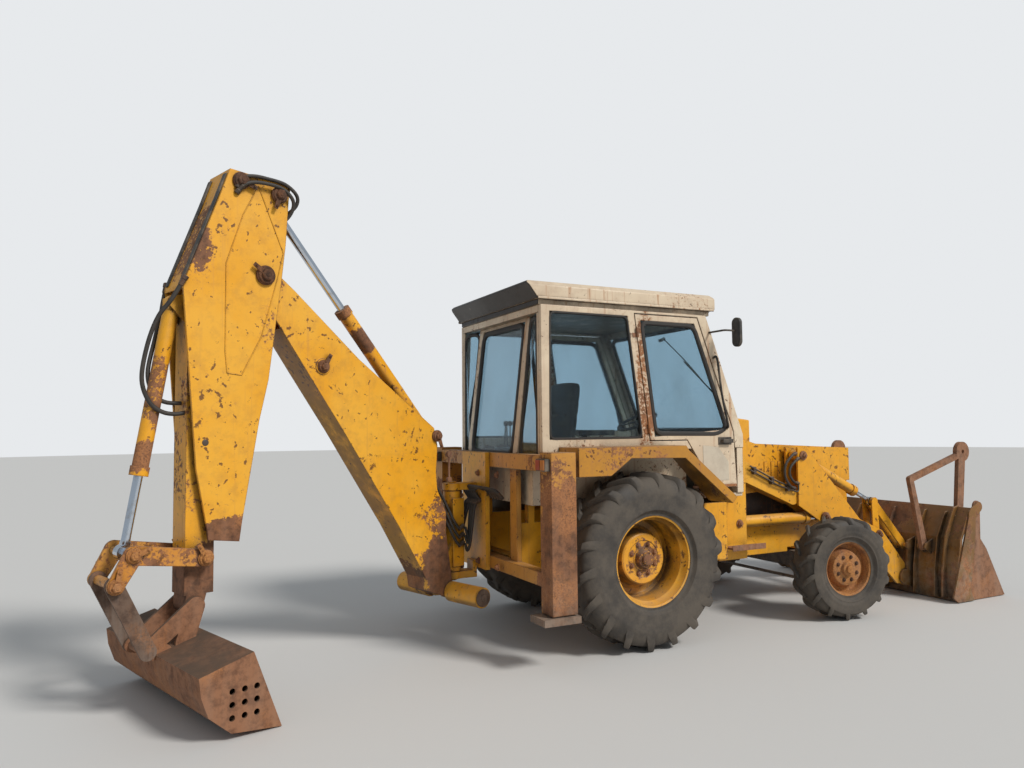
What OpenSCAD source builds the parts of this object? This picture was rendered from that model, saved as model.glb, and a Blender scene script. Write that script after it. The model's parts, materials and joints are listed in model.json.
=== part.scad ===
// Side-shift backhoe loader with a sliding dipper, a clam shovel and a glazed cab.
// X runs forward from the rear axle, Y to the machine's left, Z up from the ground.
// The backhoe has its own plane: r runs out from the boom foot, s across it, z up.

/* [Whole machine] */
// Distance between the two axles
wheelbase = 2190; // [2120:10:2260]
// Forward offset of the machine's middle from the rear axle
middle_x = 190; // [150:10:230]
// Sideways offset of the machine's middle from its centre plane
middle_y = -95; // [-120:5:-70]

/* [Wheels] */
// Radius of a rear tyre at its lug tips
rear_tyre_r = 705; // [690:5:715]
// Width of a rear tyre
rear_tyre_w = 425; // [400:5:440]
// Distance of a rear tyre's middle from the centre plane
rear_tyre_y = 870; // [865:5:880]
// Radius of a rear rim at its flange
rear_flange_r = 381; // [370:1:390]
// Radius of a front tyre at its lug tips
front_tyre_r = 465; // [455:5:475]
// Width of a front tyre
front_tyre_w = 310; // [290:5:320]
// Distance of a front tyre's middle from the centre plane
front_tyre_y = 985; // [980:5:1000]
// Radius of a front rim at its flange
front_flange_r = 262; // [255:1:270]
// Angle that the front wheels stand turned to the right
steer_rest = 10; // [0:1:15]
// Number of wheel studs on each hub
stud_count = 8; // [6:1:10]

/* [Axles] */
// Radius of the rear axle's tube
axle_tube_r = 110; // [90:5:120]
// Distance of a king pin from the centre plane
king_y = 790; // [780:5:800]
// Radius of a king pin
king_r = 20; // [16:1:24]
// Length of a steering arm behind its king pin
steer_arm = 210; // [200:5:220]

/* [Chassis] */
// Outer half width over the chassis side plates
chassis_y = 440; // [430:1:445]
// Thickness of the chassis plates
chassis_t = 20; // [14:1:24]
// Height of the chassis underside
chassis_z = 540; // [530:5:560]
// Height of the chassis top ahead of the cab
chassis_top = 830; // [810:5:835]
// Front face of the radiator cowl
nose_x = 3000; // [2980:5:3010]
// Height of the loader tower's top
tower_top = 1550; // [1530:5:1560]

/* [Cab] */
// Half width of the cab over its doors
cab_y = 800; // [790:5:810]
// Thickness of the cab walls
cab_t = 42; // [36:1:48]
// Height of the cab floor's top
floor_z = 1180; // [1160:5:1200]
// Height at which the glazed upper cab starts
waist_z = 1580; // [1570:5:1590]
// Height of the roof's underside
roof_z = 2750; // [2740:5:2760]
// Thickness of the roof
roof_t = 180; // [160:5:200]
// Thickness of the window glass
glass_t = 6; // [4:1:8]

/* [Loader] */
// Distance of each loader arm's middle from the centre plane
arm_y = 540; // [535:1:545]
// Thickness of a loader arm's plates
arm_plate = 20; // [16:1:22]
// Gap between the two plates of one loader arm
arm_gap = 130; // [126:1:134]
// Half width of the shovel
shovel_y = 1150; // [1130:5:1160]
// Thickness of the shovel's plates
shovel_t = 16; // [12:1:20]

/* [Backhoe] */
// Angle that the backhoe stands slewed to the right
slew_rest = 18; // [10:1:25]
// Forward place of the boom foot pin
foot_x = -1360; // [-1370:5:-1350]
// Sideways place of the boom foot pin
foot_y = 110; // [90:5:130]
// Distance from the slew axis to the boom foot pin
foot_offset = 120; // [110:5:130]
// Half width over the boom's plates
boom_s = 130; // [124:1:132]
// Half width over the outer dipper's plates
dipper_s = 160; // [156:1:162]
// Half width of the sliding dipper
slide_s = 100; // [94:1:101]
// Half width of the digging bucket
bucket_s = 790; // [760:10:800]
// Thickness of the bucket's plates
bucket_t = 15; // [12:1:18]
// Outer half width of the stabiliser housings
stab_y = 1170; // [1160:5:1180]

/* [Hidden] */
$fn = 48;

// Colours of the weathered machine
paint = "goldenrod";
rust = "saddlebrown";
cream = "bisque";
rubber = "dimgray";
dark = "darkslategray";
chrome = "silver";
pane = "lightsteelblue";

// Running clearance of a pin in its bore, and free gap between moving plates
fit = 0.05;
gap = 6;

// Places in the loader's plane, as [x, z]
lift_pivot = [1200, 1430];
lift_base = [1270, 880];
lift_eye = [2380, 870];
tilt_base = [2110, 1480];
lever_foot = [3150, 650];
lever_top = [3140, 980];
link_eye = [3585, 505];
shovel_pivot = [3510, 190];
clam_pivot = [3985, 930];
fork_pivot = [3590, 520];

// Places in the backhoe's plane, as [r, z]
foot = [0, 420];
boom_ram_base = [-30, 1010];
boom_ram_eye = [1220, 2240];
dipper_pivot = [1696, 2851];
dipper_ram_base = [150, 1715];
dipper_ram_eye = [1600, 3435];
bucket_ram_base = [2262, 2620];
fulcrum = [2100, 960];
lever_eye = [2538, 1027];
lever_tail = [2636, 855];
link_foot = [2435, 425];
bucket_pivot = [2135, 650];

// Helpers on vectors and outlines
function unit(v) = v / norm(v);
function side_of(v) = [-v[1], v[0]];
function heading(a, b) = atan2(b[1] - a[1], b[0] - a[0]);
function inset(points, depth) = [for (i = [0 : len(points) - 1])
    let (n = len(points),
        before = side_of(unit(points[i] - points[(i + n - 1) % n])),
        after = side_of(unit(points[(i + 1) % n] - points[i])))
    points[i] + depth * (before + after) / (1 + before * after)];

// Moves the rear axle's frame to the middle of the whole machine
module placed() translate([-middle_x, -middle_y, 0]) children();

// A plate in the XZ plane from y0 to y1
module plate(y0, y1) translate([0, y1, 0]) rotate([90, 0, 0]) linear_extrude(y1 - y0) children();

// The same plate on both sides of the centre plane
module plates(y0, y1) {
    plate(y0, y1) children();
    plate(-y1, -y0) children();
}

// A box given by its lowest and highest corners
module block(low, high) translate(low) cube(high - low);

// A round bar along Y at [x, z]
module bar(at, r, y0, y1) translate([at[0], y1, at[1]]) rotate([90, 0, 0]) cylinder(r = r, h = y1 - y0);

// A strap with round ends between two places in the XZ plane
module strap(a, ra, b, rb) {
    n = side_of(unit(b - a));
    translate(a) circle(ra);
    translate(b) circle(rb);
    polygon([a - n * ra * 0.99, b - n * rb * 0.99, b + n * rb * 0.99, a + n * ra * 0.99]);
}

module disc(at, r) translate(at) circle(r);

// Children drawn along +X from a towards b, in the XZ plane at y
module aimed(a, b, y = 0) translate([a[0], y, a[1]]) rotate([0, -heading(a, b), 0]) children();

// The backhoe's own frame, with the boom foot at r = 0
module hoe() placed() translate([foot_x, foot_y, 0]) rotate([0, 0, 180 + slew_rest]) children();

// A hydraulic barrel from its eye at the origin along +X, with a gland about the rod
module ram_barrel(eye_r, eye_w, bore_r, tube_r, tube_len, rod_r) {
    wall = 9;
    gland = 60;
    difference() {
        union() {
            rotate([90, 0, 0]) translate([0, 0, -eye_w / 2]) cylinder(r = eye_r, h = eye_w);
            block([0, -eye_w / 2, -tube_r * 0.6], [eye_r + 20, eye_w / 2, tube_r * 0.6]);
            rotate([0, 90, 0]) translate([0, 0, eye_r + 12]) cylinder(r = tube_r, h = tube_len - eye_r - 12);
            rotate([0, 90, 0]) translate([0, 0, tube_len - gland]) cylinder(r = tube_r + 8, h = gland);
        }
        rotate([90, 0, 0]) translate([0, 0, -eye_w]) cylinder(r = bore_r, h = eye_w * 2);
        rotate([0, 90, 0]) translate([0, 0, tube_r * 2]) cylinder(r = tube_r - wall, h = tube_len - gland - tube_r * 2);
        rotate([0, 90, 0]) translate([0, 0, tube_len - gland - 1]) cylinder(r = rod_r + fit, h = gland + 2);
    }
}

// A hydraulic rod from inside its barrel to its eye, along +X; the eye carries its own pin
module ram_rod(start, eye_at, rod_r, piston_r, eye_r, eye_w, pin_r, pin_w) {
    rotate([0, 90, 0]) translate([0, 0, start]) cylinder(r = rod_r, h = eye_at - eye_r - start);
    block([eye_at - eye_r - 20, -min(rod_r, eye_w / 2) * 0.9, -rod_r * 0.9], [eye_at, min(rod_r, eye_w / 2) * 0.9, rod_r * 0.9]);
    rotate([0, 90, 0]) translate([0, 0, start]) cylinder(r = piston_r, h = 60);
    translate([eye_at, 0, 0]) rotate([90, 0, 0]) {
        translate([0, 0, -eye_w / 2]) cylinder(r = eye_r, h = eye_w);
        translate([0, 0, -pin_w / 2]) cylinder(r = pin_r, h = pin_w);
    }
}

// Chassis with its cross members, loader towers and front cross member
module chassis() placed() color(paint) {
    tower_out = 2 * arm_y - chassis_y;
    plates(chassis_y - chassis_t, chassis_y) difference() {
        polygon([[-900, chassis_z + 60], [-700, chassis_z], [2500, chassis_z], [2500, chassis_top],
            [1000, chassis_top], [900, 1000], [-900, 1000]]);
        translate([-170, 0]) square([340, rear_tyre_r + 135]);
        translate([wheelbase - 130, 0]) square([260, front_tyre_r + 115]);
    }
    for (x = [-860, 560, 1500, 2350])
        block([x, -chassis_y + chassis_t, 640], [x + 100, chassis_y - chassis_t, 700]);
    block([wheelbase - 130, -chassis_y + chassis_t, 700], [wheelbase + 130, chassis_y - chassis_t, 760]);
    block([2500, -chassis_y, chassis_z - 20], [nose_x, chassis_y, chassis_top]);
    plates(chassis_y, chassis_y + arm_plate) tower_outline();
    plates(tower_out - arm_plate, tower_out) tower_outline();
    plates(chassis_y + arm_plate, tower_out - arm_plate) {
        polygon([[1020, 560], [1045, 560], [1045, 1180], [1020, 1180]]);
        polygon([[1045, 560], [1355, 560], [1355, 740], [1045, 740]]);
    }
    for (side = [-1, 1]) {
        bar(lift_pivot, 35, side * arm_y - 99, side * arm_y + 99);
        bar(lift_base, 30, side * arm_y - 99, side * arm_y + 99);
        for (x = [-780, 850])
            block([x - 30, min(side * chassis_y, side * (chassis_y - 60)), 980],
                [x + 30, max(side * chassis_y, side * (chassis_y - 60)), floor_z - 30]);
    }
}

module tower_outline() {
    polygon([[1020, 560], [1355, 560], [1355, tower_top - 60], [1300, tower_top], [1150, tower_top],
        [1020, 1240]]);
}

module engine_block() placed() color(dark) block([1480, -280, 760], [2480, 280, 1430]);

// Fixed cowl between the cab and the bonnet
module scuttle() placed() color(paint) {
    difference() {
        block([1200, -380, chassis_top], [1480, 380, 1700]);
        block([1200 - 1, -366, chassis_top - 1], [1466, 366, 1686]);
    }
}

// Bonnet, hinged at the scuttle
module bonnet() placed() color(paint) {
    difference() {
        plate(-420, 420) polygon([[1490, 1120], [nose_x - 10, 1200], [nose_x - 10, 1535], [1700, 1600], [1490, 1660]]);
        plate(-406, 406) polygon([[1480, 1100], [nose_x - 24, 1100], [nose_x - 24, 1521], [1700, 1586], [1480, 1648]]);
    }
}

// Grille housing ahead of the radiator
module radiator_cowl() placed() color(paint) {
    difference() {
        block([2780, -398, chassis_top], [nose_x - 30, 398, 1510]);
        block([2800, -378, chassis_top + 20], [nose_x - 29, 378, 1490]);
    }
    for (y = [-350 : 50 : 350])
        block([nose_x - 60, y - 6, chassis_top + 20], [nose_x - 40, y + 6, 1490]);
}

// Head lamps on the cowl and work lamps under the roof
module lamps() placed() color(dark) {
    for (side = [-1, 1]) {
        translate([900, side * 620, 2860]) rotate([0, 90, 0]) cylinder(r = 60, h = 60);
        translate([-990, side * 520, 2860]) rotate([0, 90, 0]) cylinder(r = 60, h = 60);
    }
}

// Front axle beam with its king pin bosses
module front_axle() placed() color(dark) {
    z = front_tyre_r;
    translate([wheelbase, 0, 0]) {
        difference() {
            union() {
                block([-70, -king_y + 30, z - 75], [70, king_y - 30, z + 75]);
                for (side = [-1, 1])
                    translate([0, side * king_y, z - 75]) cylinder(r = 50, h = 150);
                block([-60, -120, z + 75], [60, 120, 700]);
            }
            for (side = [-1, 1])
                translate([0, side * king_y, z - 100]) cylinder(r = king_r + fit, h = 200);
        }
    }
}

// Rear axle with its middle casing and saddles
module rear_axle() placed() color(dark) {
    bar([0, rear_tyre_r], axle_tube_r, -rear_tyre_y - 11.5, rear_tyre_y + 11.5);
    bar([0, rear_tyre_r], 190, -130, 130);
    for (side = [-1, 1])
        block([-140, side * (chassis_y - chassis_t / 2) - 40, rear_tyre_r],
            [140, side * (chassis_y - chassis_t / 2) + 40, rear_tyre_r + 135]);
}

// Tanks and steps below the doors
module side_tanks() placed() color(paint) {
    for (side = [-1, 1])
        block([760, min(side * chassis_y, side * 760), 600], [1015, max(side * chassis_y, side * 760), 1100]);
}

// Rear frame with its rails and the stabiliser housings
module rear_frame() placed() color(rust) {
    for (side = [-1, 1]) difference() {
        block([-1000, min(side * (stab_y - 170), side * stab_y), 410], [-790, max(side * (stab_y - 170), side * stab_y), 1590]);
        block([-984, side * (stab_y - 85) - 69, 400], [-806, side * (stab_y - 85) + 69, 1574]);
    }
    block([-1000, -stab_y + 170, 1450], [-900, stab_y - 170, 1570]);
    block([-1000, -stab_y + 170, 600], [-900, stab_y - 170, 700]);
    for (side = [-1, 1])
        block([-940, side * 430 - 60, 700], [-900, side * 430 + 60, 1450]);
}

module stabiliser_leg(side) placed() color(chrome) {
    y = side * (stab_y - 85);
    block([-978, y - 63, 400], [-812, y + 63, 1480]);
    block([-1080, y - 110, 350], [-775, y + 110, 400]);
}

module stabiliser_left() stabiliser_leg(1);
module stabiliser_right() stabiliser_leg(-1);

// Mudguards over the rear tyres
module mudguards() placed() color(paint) {
    outline = [[-720, 1400], [-430, 1400], [-240, 1530], [290, 1520], [780, 1130], [830, 1180], [330, 1580], [300, 1620],
        [-720, 1620]];
    plates(1088, 1100) polygon(outline);
    plates(cab_y, 1088) difference() {
        polygon([[-720, 1400], [-706, 1400], [-706, 1606], [294, 1606], [780, 1130], [830, 1180], [330, 1580],
            [300, 1620], [-720, 1620]]);
    }
}

// Cab floor and lower body
module cab_tub() placed() color(cream) {
    difference() {
        union() {
            block([-850, -600, floor_z - 30], [1000, 600, waist_z]);
            block([745, -780, floor_z - 30], [1000, 780, floor_z]);
            block([1000, -410, floor_z - 30], [1200, 410, waist_z]);
        }
        block([-820, -570, floor_z], [970, 570, waist_z + 1]);
        block([700, -700, floor_z], [960, 700, waist_z + 1]);
        block([900, -380, floor_z], [1170, 380, waist_z + 1]);
    }
    for (side = [-1, 1])
        block([-850, min(side * 600, side * cab_y), waist_z - 30], [540, max(side * 600, side * cab_y), waist_z]);
    for (side = [-1, 1]) {
        block([1000, min(side * 660, side * 780), floor_z - 30], [1185, max(side * 660, side * 780), floor_z]);
        block([1115, min(side * 660, side * 795), floor_z], [1185, max(side * 660, side * 795), waist_z]);
    }
}

module cab_side(grow = 0) {
    polygon([[-950 - grow, waist_z], [1190 + grow, waist_z], [1190 + grow, 1700], [790 + grow, roof_z], [-850 - grow, roof_z]]);
}

module cab_plan(grow = 0) {
    polygon([[1400, -cab_y - grow], [1400, cab_y + grow], [-800 - grow * 0.7, cab_y + grow], [-1100 - grow, 450],
        [-1100 - grow, -450], [-800 - grow * 0.7, -cab_y - grow]]);
}

module door_outline(grow = 0) {
    polygon([[30 - grow, roof_z - 30 + grow], [170 - grow, waist_z + 80 - grow], [560 - grow, waist_z + 80 - grow],
        [850 - grow, 1235 - grow], [1105 + grow, 1235 - grow], [1075 + grow, 1720 + grow], [690 + grow, roof_z - 30 + grow]]);
}

// Glazed upper cab
module cab_frame() placed() color(cream) {
    difference() {
        intersection() {
            plate(-cab_y, cab_y) cab_side();
            translate([0, 0, waist_z]) linear_extrude(roof_z - waist_z) cab_plan();
        }
        intersection() {
            plate(-cab_y, cab_y) polygon([[-950 + cab_t, waist_z - 1], [1190 - cab_t, waist_z - 1], [1190 - cab_t, 1700],
                [790 - cab_t, roof_z + 1], [-850 + cab_t, roof_z + 1]]);
            translate([0, 0, waist_z - 1]) linear_extrude(roof_z - waist_z + 2) cab_plan(-cab_t);
        }
        plate(-cab_y - 1, cab_y + 1) door_outline(8);
        plate(-cab_y - 1, cab_y + 1) polygon([[-770, 2700], [-790, 1680], [100, 1680], [-35, 2700]]);
        block([600, -720, 1715], [1300, 720, roof_z - 60]);
        block([-1200, -420, waist_z + 20], [-700, 420, roof_z - 50]);
    }
}

module cab_roof() placed() color(cream) {
    block([-930, -cab_y + 10, roof_z], [900, cab_y - 10, roof_z + roof_t]);
}

// Fixed panes
module cab_glass() placed() color(pane) {
    plates(cab_y - cab_t / 2, cab_y - cab_t / 2 + glass_t) polygon([[-770, 2700], [-790, 1680], [100, 1680], [-35, 2700]]);
}

module door(side) placed() color(cream) difference() {
    plate(side > 0 ? cab_y - cab_t : -cab_y, side > 0 ? cab_y : cab_t - cab_y) door_outline();
    plate(-cab_y - 1, cab_y + 1) polygon([[85, roof_z - 80], [215, 1690], [1015, 1745], [660, roof_z - 80]]);
}

module door_pane(side) placed() color(pane)
    plate(side > 0 ? cab_y - cab_t / 2 : -cab_y + cab_t / 2 - glass_t, side > 0 ? cab_y - cab_t / 2 + glass_t : -cab_y + cab_t / 2)
        polygon([[85, roof_z - 80], [215, 1690], [1015, 1745], [660, roof_z - 80]]);

module door_left() door(1);
module door_right() door(-1);
module door_glass_left() door_pane(1);
module door_glass_right() door_pane(-1);

module seat() placed() color(dark) {
    block([-150, -150, floor_z], [250, 150, floor_z + 330]);
    block([-200, -240, floor_z + 330], [280, 240, floor_z + 450]);
    block([-200, -240, floor_z + 450], [-80, 240, floor_z + 950]);
}

module controls() placed() color(dark) {
    block([870, -50, floor_z], [950, 50, floor_z + 60]);
    translate([900, 0, floor_z + 20]) rotate([0, -25, 0]) cylinder(r = 30, h = 680);
    translate([900, 0, floor_z]) rotate([0, -25, 0]) translate([0, 0, 700]) cylinder(r = 200, h = 25);
}

module mirrors() placed() color(dark) {
    for (side = [-1, 1]) {
        block([930, side * 1000 - 90, 2450], [960, side * 1000 + 90, 2720]);
        bar([825, 2600], 12, min(side * cab_y, side * 990), max(side * cab_y, side * 990));
        block([825, side * 990 - 12, 2588], [930, side * 990 + 12, 2612]);
    }
}

// A tyre about the Y axis
module tyre(r, w, flange) {
    rotate([90, 0, 0]) rotate_extrude() polygon([[flange - 25, -w / 2 + 60], [flange + 40, -w / 2 + 8], [r - 110, -w / 2],
        [r - 20, -w / 2 + 20], [r, -w / 2 + 60], [r, w / 2 - 60], [r - 20, w / 2 - 20], [r - 110, w / 2],
        [flange + 40, w / 2 - 8], [flange - 25, w / 2 - 60]]);
}

// A rim about the Y axis, its outer face towards +Y
module rim(r, w, hub_r, dish) {
    difference() {
        rotate([-90, 0, 0]) rotate_extrude() polygon([[r - 25, -w / 2 + 60], [r, -w / 2 + 35], [r, -w / 2 + 25], [r - 40, -w / 2 + 25],
            [r - 45, dish - 8], [0, dish - 8], [0, dish + 8], [r - 45, dish + 8], [r - 40, w / 2 - 25], [r, w / 2 - 25],
            [r, w / 2 - 35], [r - 25, w / 2 - 60]]);
    }
    rotate([-90, 0, 0]) translate([0, 0, dish + 8]) cylinder(r = hub_r, h = 60);
}

module rear_wheel_place(side) placed() translate([0, side * rear_tyre_y, rear_tyre_r]) children();
module front_wheel_place(side) placed() translate([wheelbase, side * king_y, front_tyre_r])
    rotate([0, 0, -steer_rest]) translate([0, side * (front_tyre_y - king_y), 0]) children();

module tyre_rear_left() rear_wheel_place(1) color(rubber) tyre(rear_tyre_r, rear_tyre_w, rear_flange_r);
module tyre_rear_right() rear_wheel_place(-1) color(rubber) tyre(rear_tyre_r, rear_tyre_w, rear_flange_r);
module tyre_front_left() front_wheel_place(1) color(rubber) tyre(front_tyre_r, front_tyre_w, front_flange_r);
module tyre_front_right() front_wheel_place(-1) color(rubber) tyre(front_tyre_r, front_tyre_w, front_flange_r);
module rim_rear_left() rear_wheel_place(1) color(paint) rim(rear_flange_r, rear_tyre_w, 150, 20);
module rim_rear_right() rear_wheel_place(-1) mirror([0, 1, 0]) color(paint) rim(rear_flange_r, rear_tyre_w, 150, 20);
module rim_front_left() front_wheel_place(1) color(rust) rim(front_flange_r, front_tyre_w, 90, 20);
module rim_front_right() front_wheel_place(-1) mirror([0, 1, 0]) color(rust) rim(front_flange_r, front_tyre_w, 90, 20);

// Steering knuckle with its king pin, stub axle and steering arm
module knuckle(side) placed() translate([wheelbase, side * king_y, front_tyre_r]) rotate([0, 0, -steer_rest]) color(dark) {
    stub = front_tyre_y - king_y + 11.5;
    difference() {
        union() {
            for (end = [-1, 1])
                block([-50, min(-side * 50, side * 90), end > 0 ? 75 + gap : -115 - gap],
                    [50, max(-side * 50, side * 90), end > 0 ? 115 + gap : -75 - gap]);
            block([-50, min(side * 62, side * 90), -115 - gap], [50, max(side * 62, side * 90), 115 + gap]);
            bar([0, 0], 40, min(side * 80, side * stub), max(side * 80, side * stub));
            translate([0, 0, -115]) cylinder(r = king_r, h = 230);
            block([-steer_arm - 25, -25, -115 - gap], [0, 25, -85 - gap]);
        }
        translate([-steer_arm, 0, -200]) cylinder(r = 12 + fit, h = 150);
    }
}

module knuckle_left() knuckle(1);
module knuckle_right() knuckle(-1);

// Track rod between the two steering arms
module track_rod() placed() color(dark) {
    arm = [-steer_arm * cos(steer_rest), steer_arm * sin(steer_rest)];
    translate([wheelbase + arm[0], arm[1], front_tyre_r - 115 - gap]) {
        translate([0, 0, -21]) rotate([90, 0, 0]) translate([0, 0, -king_y]) cylinder(r = 15, h = king_y * 2);
        for (side = [-1, 1]) translate([0, side * king_y, 0]) {
            translate([0, 0, -42]) cylinder(r = 26, h = 42 - gap);
            translate([0, 0, -30]) cylinder(r = 12, h = 30 + 30 + gap);
            translate([0, 0, 30 + gap]) cylinder(r = 20, h = 12);
        }
    }
}

// Carriage that shifts sideways on the rear frame
module carriage() placed() color(paint) {
    slew_x = foot_x + foot_offset * cos(slew_rest);
    slew_y = foot_y + foot_offset * sin(slew_rest);
    difference() {
        union() {
            block([-1040, slew_y - 250, 580], [-1000 - 0.3, slew_y + 250, 1570]);
            block([slew_x, slew_y - 62, 1245], [-1040, slew_y + 62, 1305]);
            block([slew_x, slew_y - 62, 495], [-1040, slew_y + 62, 555]);
            translate([slew_x, slew_y, 1245]) cylinder(r = 80, h = 60);
            block([-1080, slew_y - 62, 495], [-1040, slew_y + 62, 640]);
            translate([slew_x, slew_y, 495]) cylinder(r = 80, h = 60);
        }
        translate([slew_x, slew_y, 400]) cylinder(r = 40 + fit, h = 1000);
    }
}

// Kingpost that slews on the carriage, with the foot pin and its side tubes
module kingpost() hoe() color(paint) {
    difference() {
        translate([-foot_offset, 0, 561]) cylinder(r = 75, h = 678);
        bar(boom_ram_base, 60 + gap, -40, 40);
    }
    translate([-foot_offset, 0, 480]) cylinder(r = 40, h = 90);
    translate([-foot_offset, 0, 1230]) cylinder(r = 40, h = 90);
    plates(40, 70) {
        polygon([[-32, 420], [-32, 575], [-110, 575], [-110, 800], [-60, 800], [56, 600], [60, 420]]);
        disc(foot, 60);
        strap([-90, 1010], 50, boom_ram_base, 50);
    }
    bar(foot, 35, -boom_s - gap, boom_s + gap);
    bar(boom_ram_base, 30, -70, 70);
    for (side = [-1, 1])
        bar(foot, 82, min(side * (boom_s + gap), side * 520), max(side * (boom_s + gap), side * 520));
}

boom_outline = [[-35, 340], [250, 460], [266, 562], [534, 1006], [1045, 1768], [1346, 2194], [1600, 2560], [1590, 2845],
    [1453, 2777], [907, 2312], [177, 1781], [142, 1637], [158, 1417], [144, 1268], [53, 1075], [54, 914]];

// Boom
module boom() hoe() color(paint) {
    difference() {
        union() {
            plates(boom_s - 16, boom_s) {
                polygon(boom_outline);
                disc(dipper_pivot, 105);
                disc(foot, 72);
                polygon([[1400, 2300], [1600, 2560], [1750, 2760], [1650, 2930], [1453, 2777]]);
            }
            plate(-boom_s + 16, boom_s - 16) difference() {
                polygon(boom_outline);
                polygon(inset(boom_outline, 14));
                polygon([[-100, 300], [20, 420], [200, 1200], [400, 1850], [640, 2060], [600, 2200], [100, 1860],
                    [-100, 900]]);
                polygon([[-100, 300], [130, 300], [130, 560], [-100, 560]]);
                polygon([[1500, 2500], [1700, 2500], [1700, 2900], [1500, 2900]]);
            }
            bar(dipper_pivot, 75, -boom_s + 16, boom_s - 16);
            plates(boom_s, boom_s + 6) disc(boom_ram_eye, 60);
            bar(dipper_ram_base, 30, -boom_s + 16, boom_s - 16);
        }
        bar(foot, 35 + fit, -200, 200);
        bar(dipper_pivot, 35 + fit, -200, 200);
    }
}

module boom_ram_barrel() hoe() color(paint) aimed(boom_ram_base, boom_ram_eye)
    ram_barrel(60, 68, 30 + fit, 60, 1330, 32);

module boom_ram_rod() hoe() color(chrome) aimed(boom_ram_base, boom_ram_eye)
    ram_rod(600, norm(boom_ram_eye - boom_ram_base), 32, 45, 55, 76, 30, 2 * (boom_s - 16 - gap));

// Outer dipper
module dipper_outer() hoe() color(paint) {
    outline = [[1863, 1037], [2073, 1067], [2081, 1138], [2158, 1527], [2258, 2723], [2028, 3337], [1954, 3551],
        [1506, 3520], [1521, 3415], [1542, 3087], [1571, 2832], [1664, 2123], [1728, 1847], [1843, 1180]];
    union() {
        plates(dipper_s - 18, dipper_s) polygon(outline);
        plate(-dipper_s + 18, dipper_s - 18) difference() {
            polygon(outline);
            polygon(inset(outline, 12));
            polygon([[1500, 1950], [1900, 1950], [1750, 3600], [1400, 3600]]);
            polygon([[1850, 1000], [2200, 1000], [2300, 2700], [2050, 2700], [2000, 1200], [1880, 1150]]);
        }
        bar(dipper_pivot, 35, -dipper_s - 20, dipper_s + 20);
        plates(dipper_s, dipper_s + 20) disc(dipper_ram_eye, 55);
    }
}

module dipper_ram_barrel() hoe() color(paint) aimed(dipper_ram_base, dipper_ram_eye)
    ram_barrel(58, 80, 30 + fit, 55, 1293, 30);

module dipper_ram_rod() hoe() color(chrome) aimed(dipper_ram_base, dipper_ram_eye)
    ram_rod(960, norm(dipper_ram_eye - dipper_ram_base), 30, 40, 52, 80, 30, 2 * (dipper_s - 18 - gap));

// Sliding dipper
module dipper_inner() hoe() color(paint) {
    difference() {
        union() {
            block([2010, -slide_s, 720], [2200, slide_s, 2690]);
            plate(-slide_s, slide_s) strap([2105, 800], 70, bucket_pivot, 60);
            plates(50, 66) polygon([[2200, 2480], [bucket_ram_base[0] + 40, 2590], [bucket_ram_base[0] + 40, 2650], [2200, 2680]]);
            bar(bucket_ram_base, 25, -66, 66);
        }
        bar(bucket_pivot, 30 + fit, -200, 200);
        bar(fulcrum, 30 + fit, -200, 200);
    }
}

module bucket_ram_barrel() hoe() color(paint) aimed(bucket_ram_base, lever_eye)
    ram_barrel(48, 80, 25 + fit, 50, 1140, 28);

module bucket_ram_rod() hoe() color(chrome) aimed(bucket_ram_base, lever_eye)
    ram_rod(650, norm(lever_eye - bucket_ram_base), 28, 36, 50, 80, 30, 2 * (166 - gap));

// Pair of bent levers that tip the bucket
module tipping_levers() hoe() color(paint) {
    plates(166, 186) {
        strap(fulcrum, 55, lever_eye, 60);
        strap(lever_eye, 60, lever_tail, 50);
    }
    plates(186, 200) {
        disc(fulcrum, 40);
        disc(lever_eye, 42);
        disc(lever_tail, 40);
    }
    bar(fulcrum, 30, -166, 166);
    bar(lever_tail, 30, -166, 166);
}

// Links from the levers to the bucket's lugs
module tipping_links() hoe() color(rust) difference() {
    plates(136, 158) strap(lever_tail, 52, link_foot, 52);
    bar(lever_tail, 30 + fit, -200, 200);
}

// Wide grading bucket
module hoe_bucket() hoe() color(rust) {
    outline = [[1880, 5], [2194, 45], [2328, 165], [2371, 286], [2385, 396], [2060, 480]];
    plates(bucket_s - bucket_t, bucket_s) difference() {
        polygon(outline);
        for (i = [0 : 2], j = [0 : 2])
            disc([2040 + 75 * i, 130 + 75 * j], 18);
    }
    plate(-bucket_s + bucket_t, bucket_s - bucket_t) difference() {
        polygon(outline);
        polygon(inset(outline, bucket_t));
        polygon([[1800, 20], [1900, 20], [2060, 460], [2000, 500]]);
    }
    plates(106, 130) {
        strap(bucket_pivot, 60, [2200, 440], 60);
        strap(bucket_pivot, 60, link_foot, 50);
        strap(link_foot, 50, [2330, 400], 50);
    }
    bar(bucket_pivot, 30, -106, 106);
    bar(link_foot, 30, -130, 130);
}

// Places children at both loader arms
module at_arms() placed() for (side = [-1, 1]) translate([0, side * arm_y, 0]) children();

module loader_arms() color(paint) {
    half = arm_gap / 2;
    at_arms() difference() {
        union() {
            plate(-half, half) strap([1330, 1370], 90, [1990, 1085], 75);
            plate(-half, half) strap(lift_pivot, 90, [1330, 1370], 90);
            plates(half, half + arm_plate) {
                polygon([[2040, 1560], [2040, 1000], [2380, 800], [2700, 800], [3400, 130], [3560, 110], [3590, 260], [3200, 690],
                    [2880, 820], [2180, 1540]]);
                disc(shovel_pivot, 85);
            }
            bar(tilt_base, 30, -half, half);
            plates(half + arm_plate, half + arm_plate + 12) disc(lift_eye, 45);
            bar(lever_foot, 30, -half, half);
        }
        bar(lift_pivot, 35 + fit, -200, 200);
        bar(shovel_pivot, 30 + fit, -200, 200);
    }
    placed() bar([3230, 560], 70, -arm_y + half + arm_plate, arm_y - half - arm_plate);
}

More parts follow.
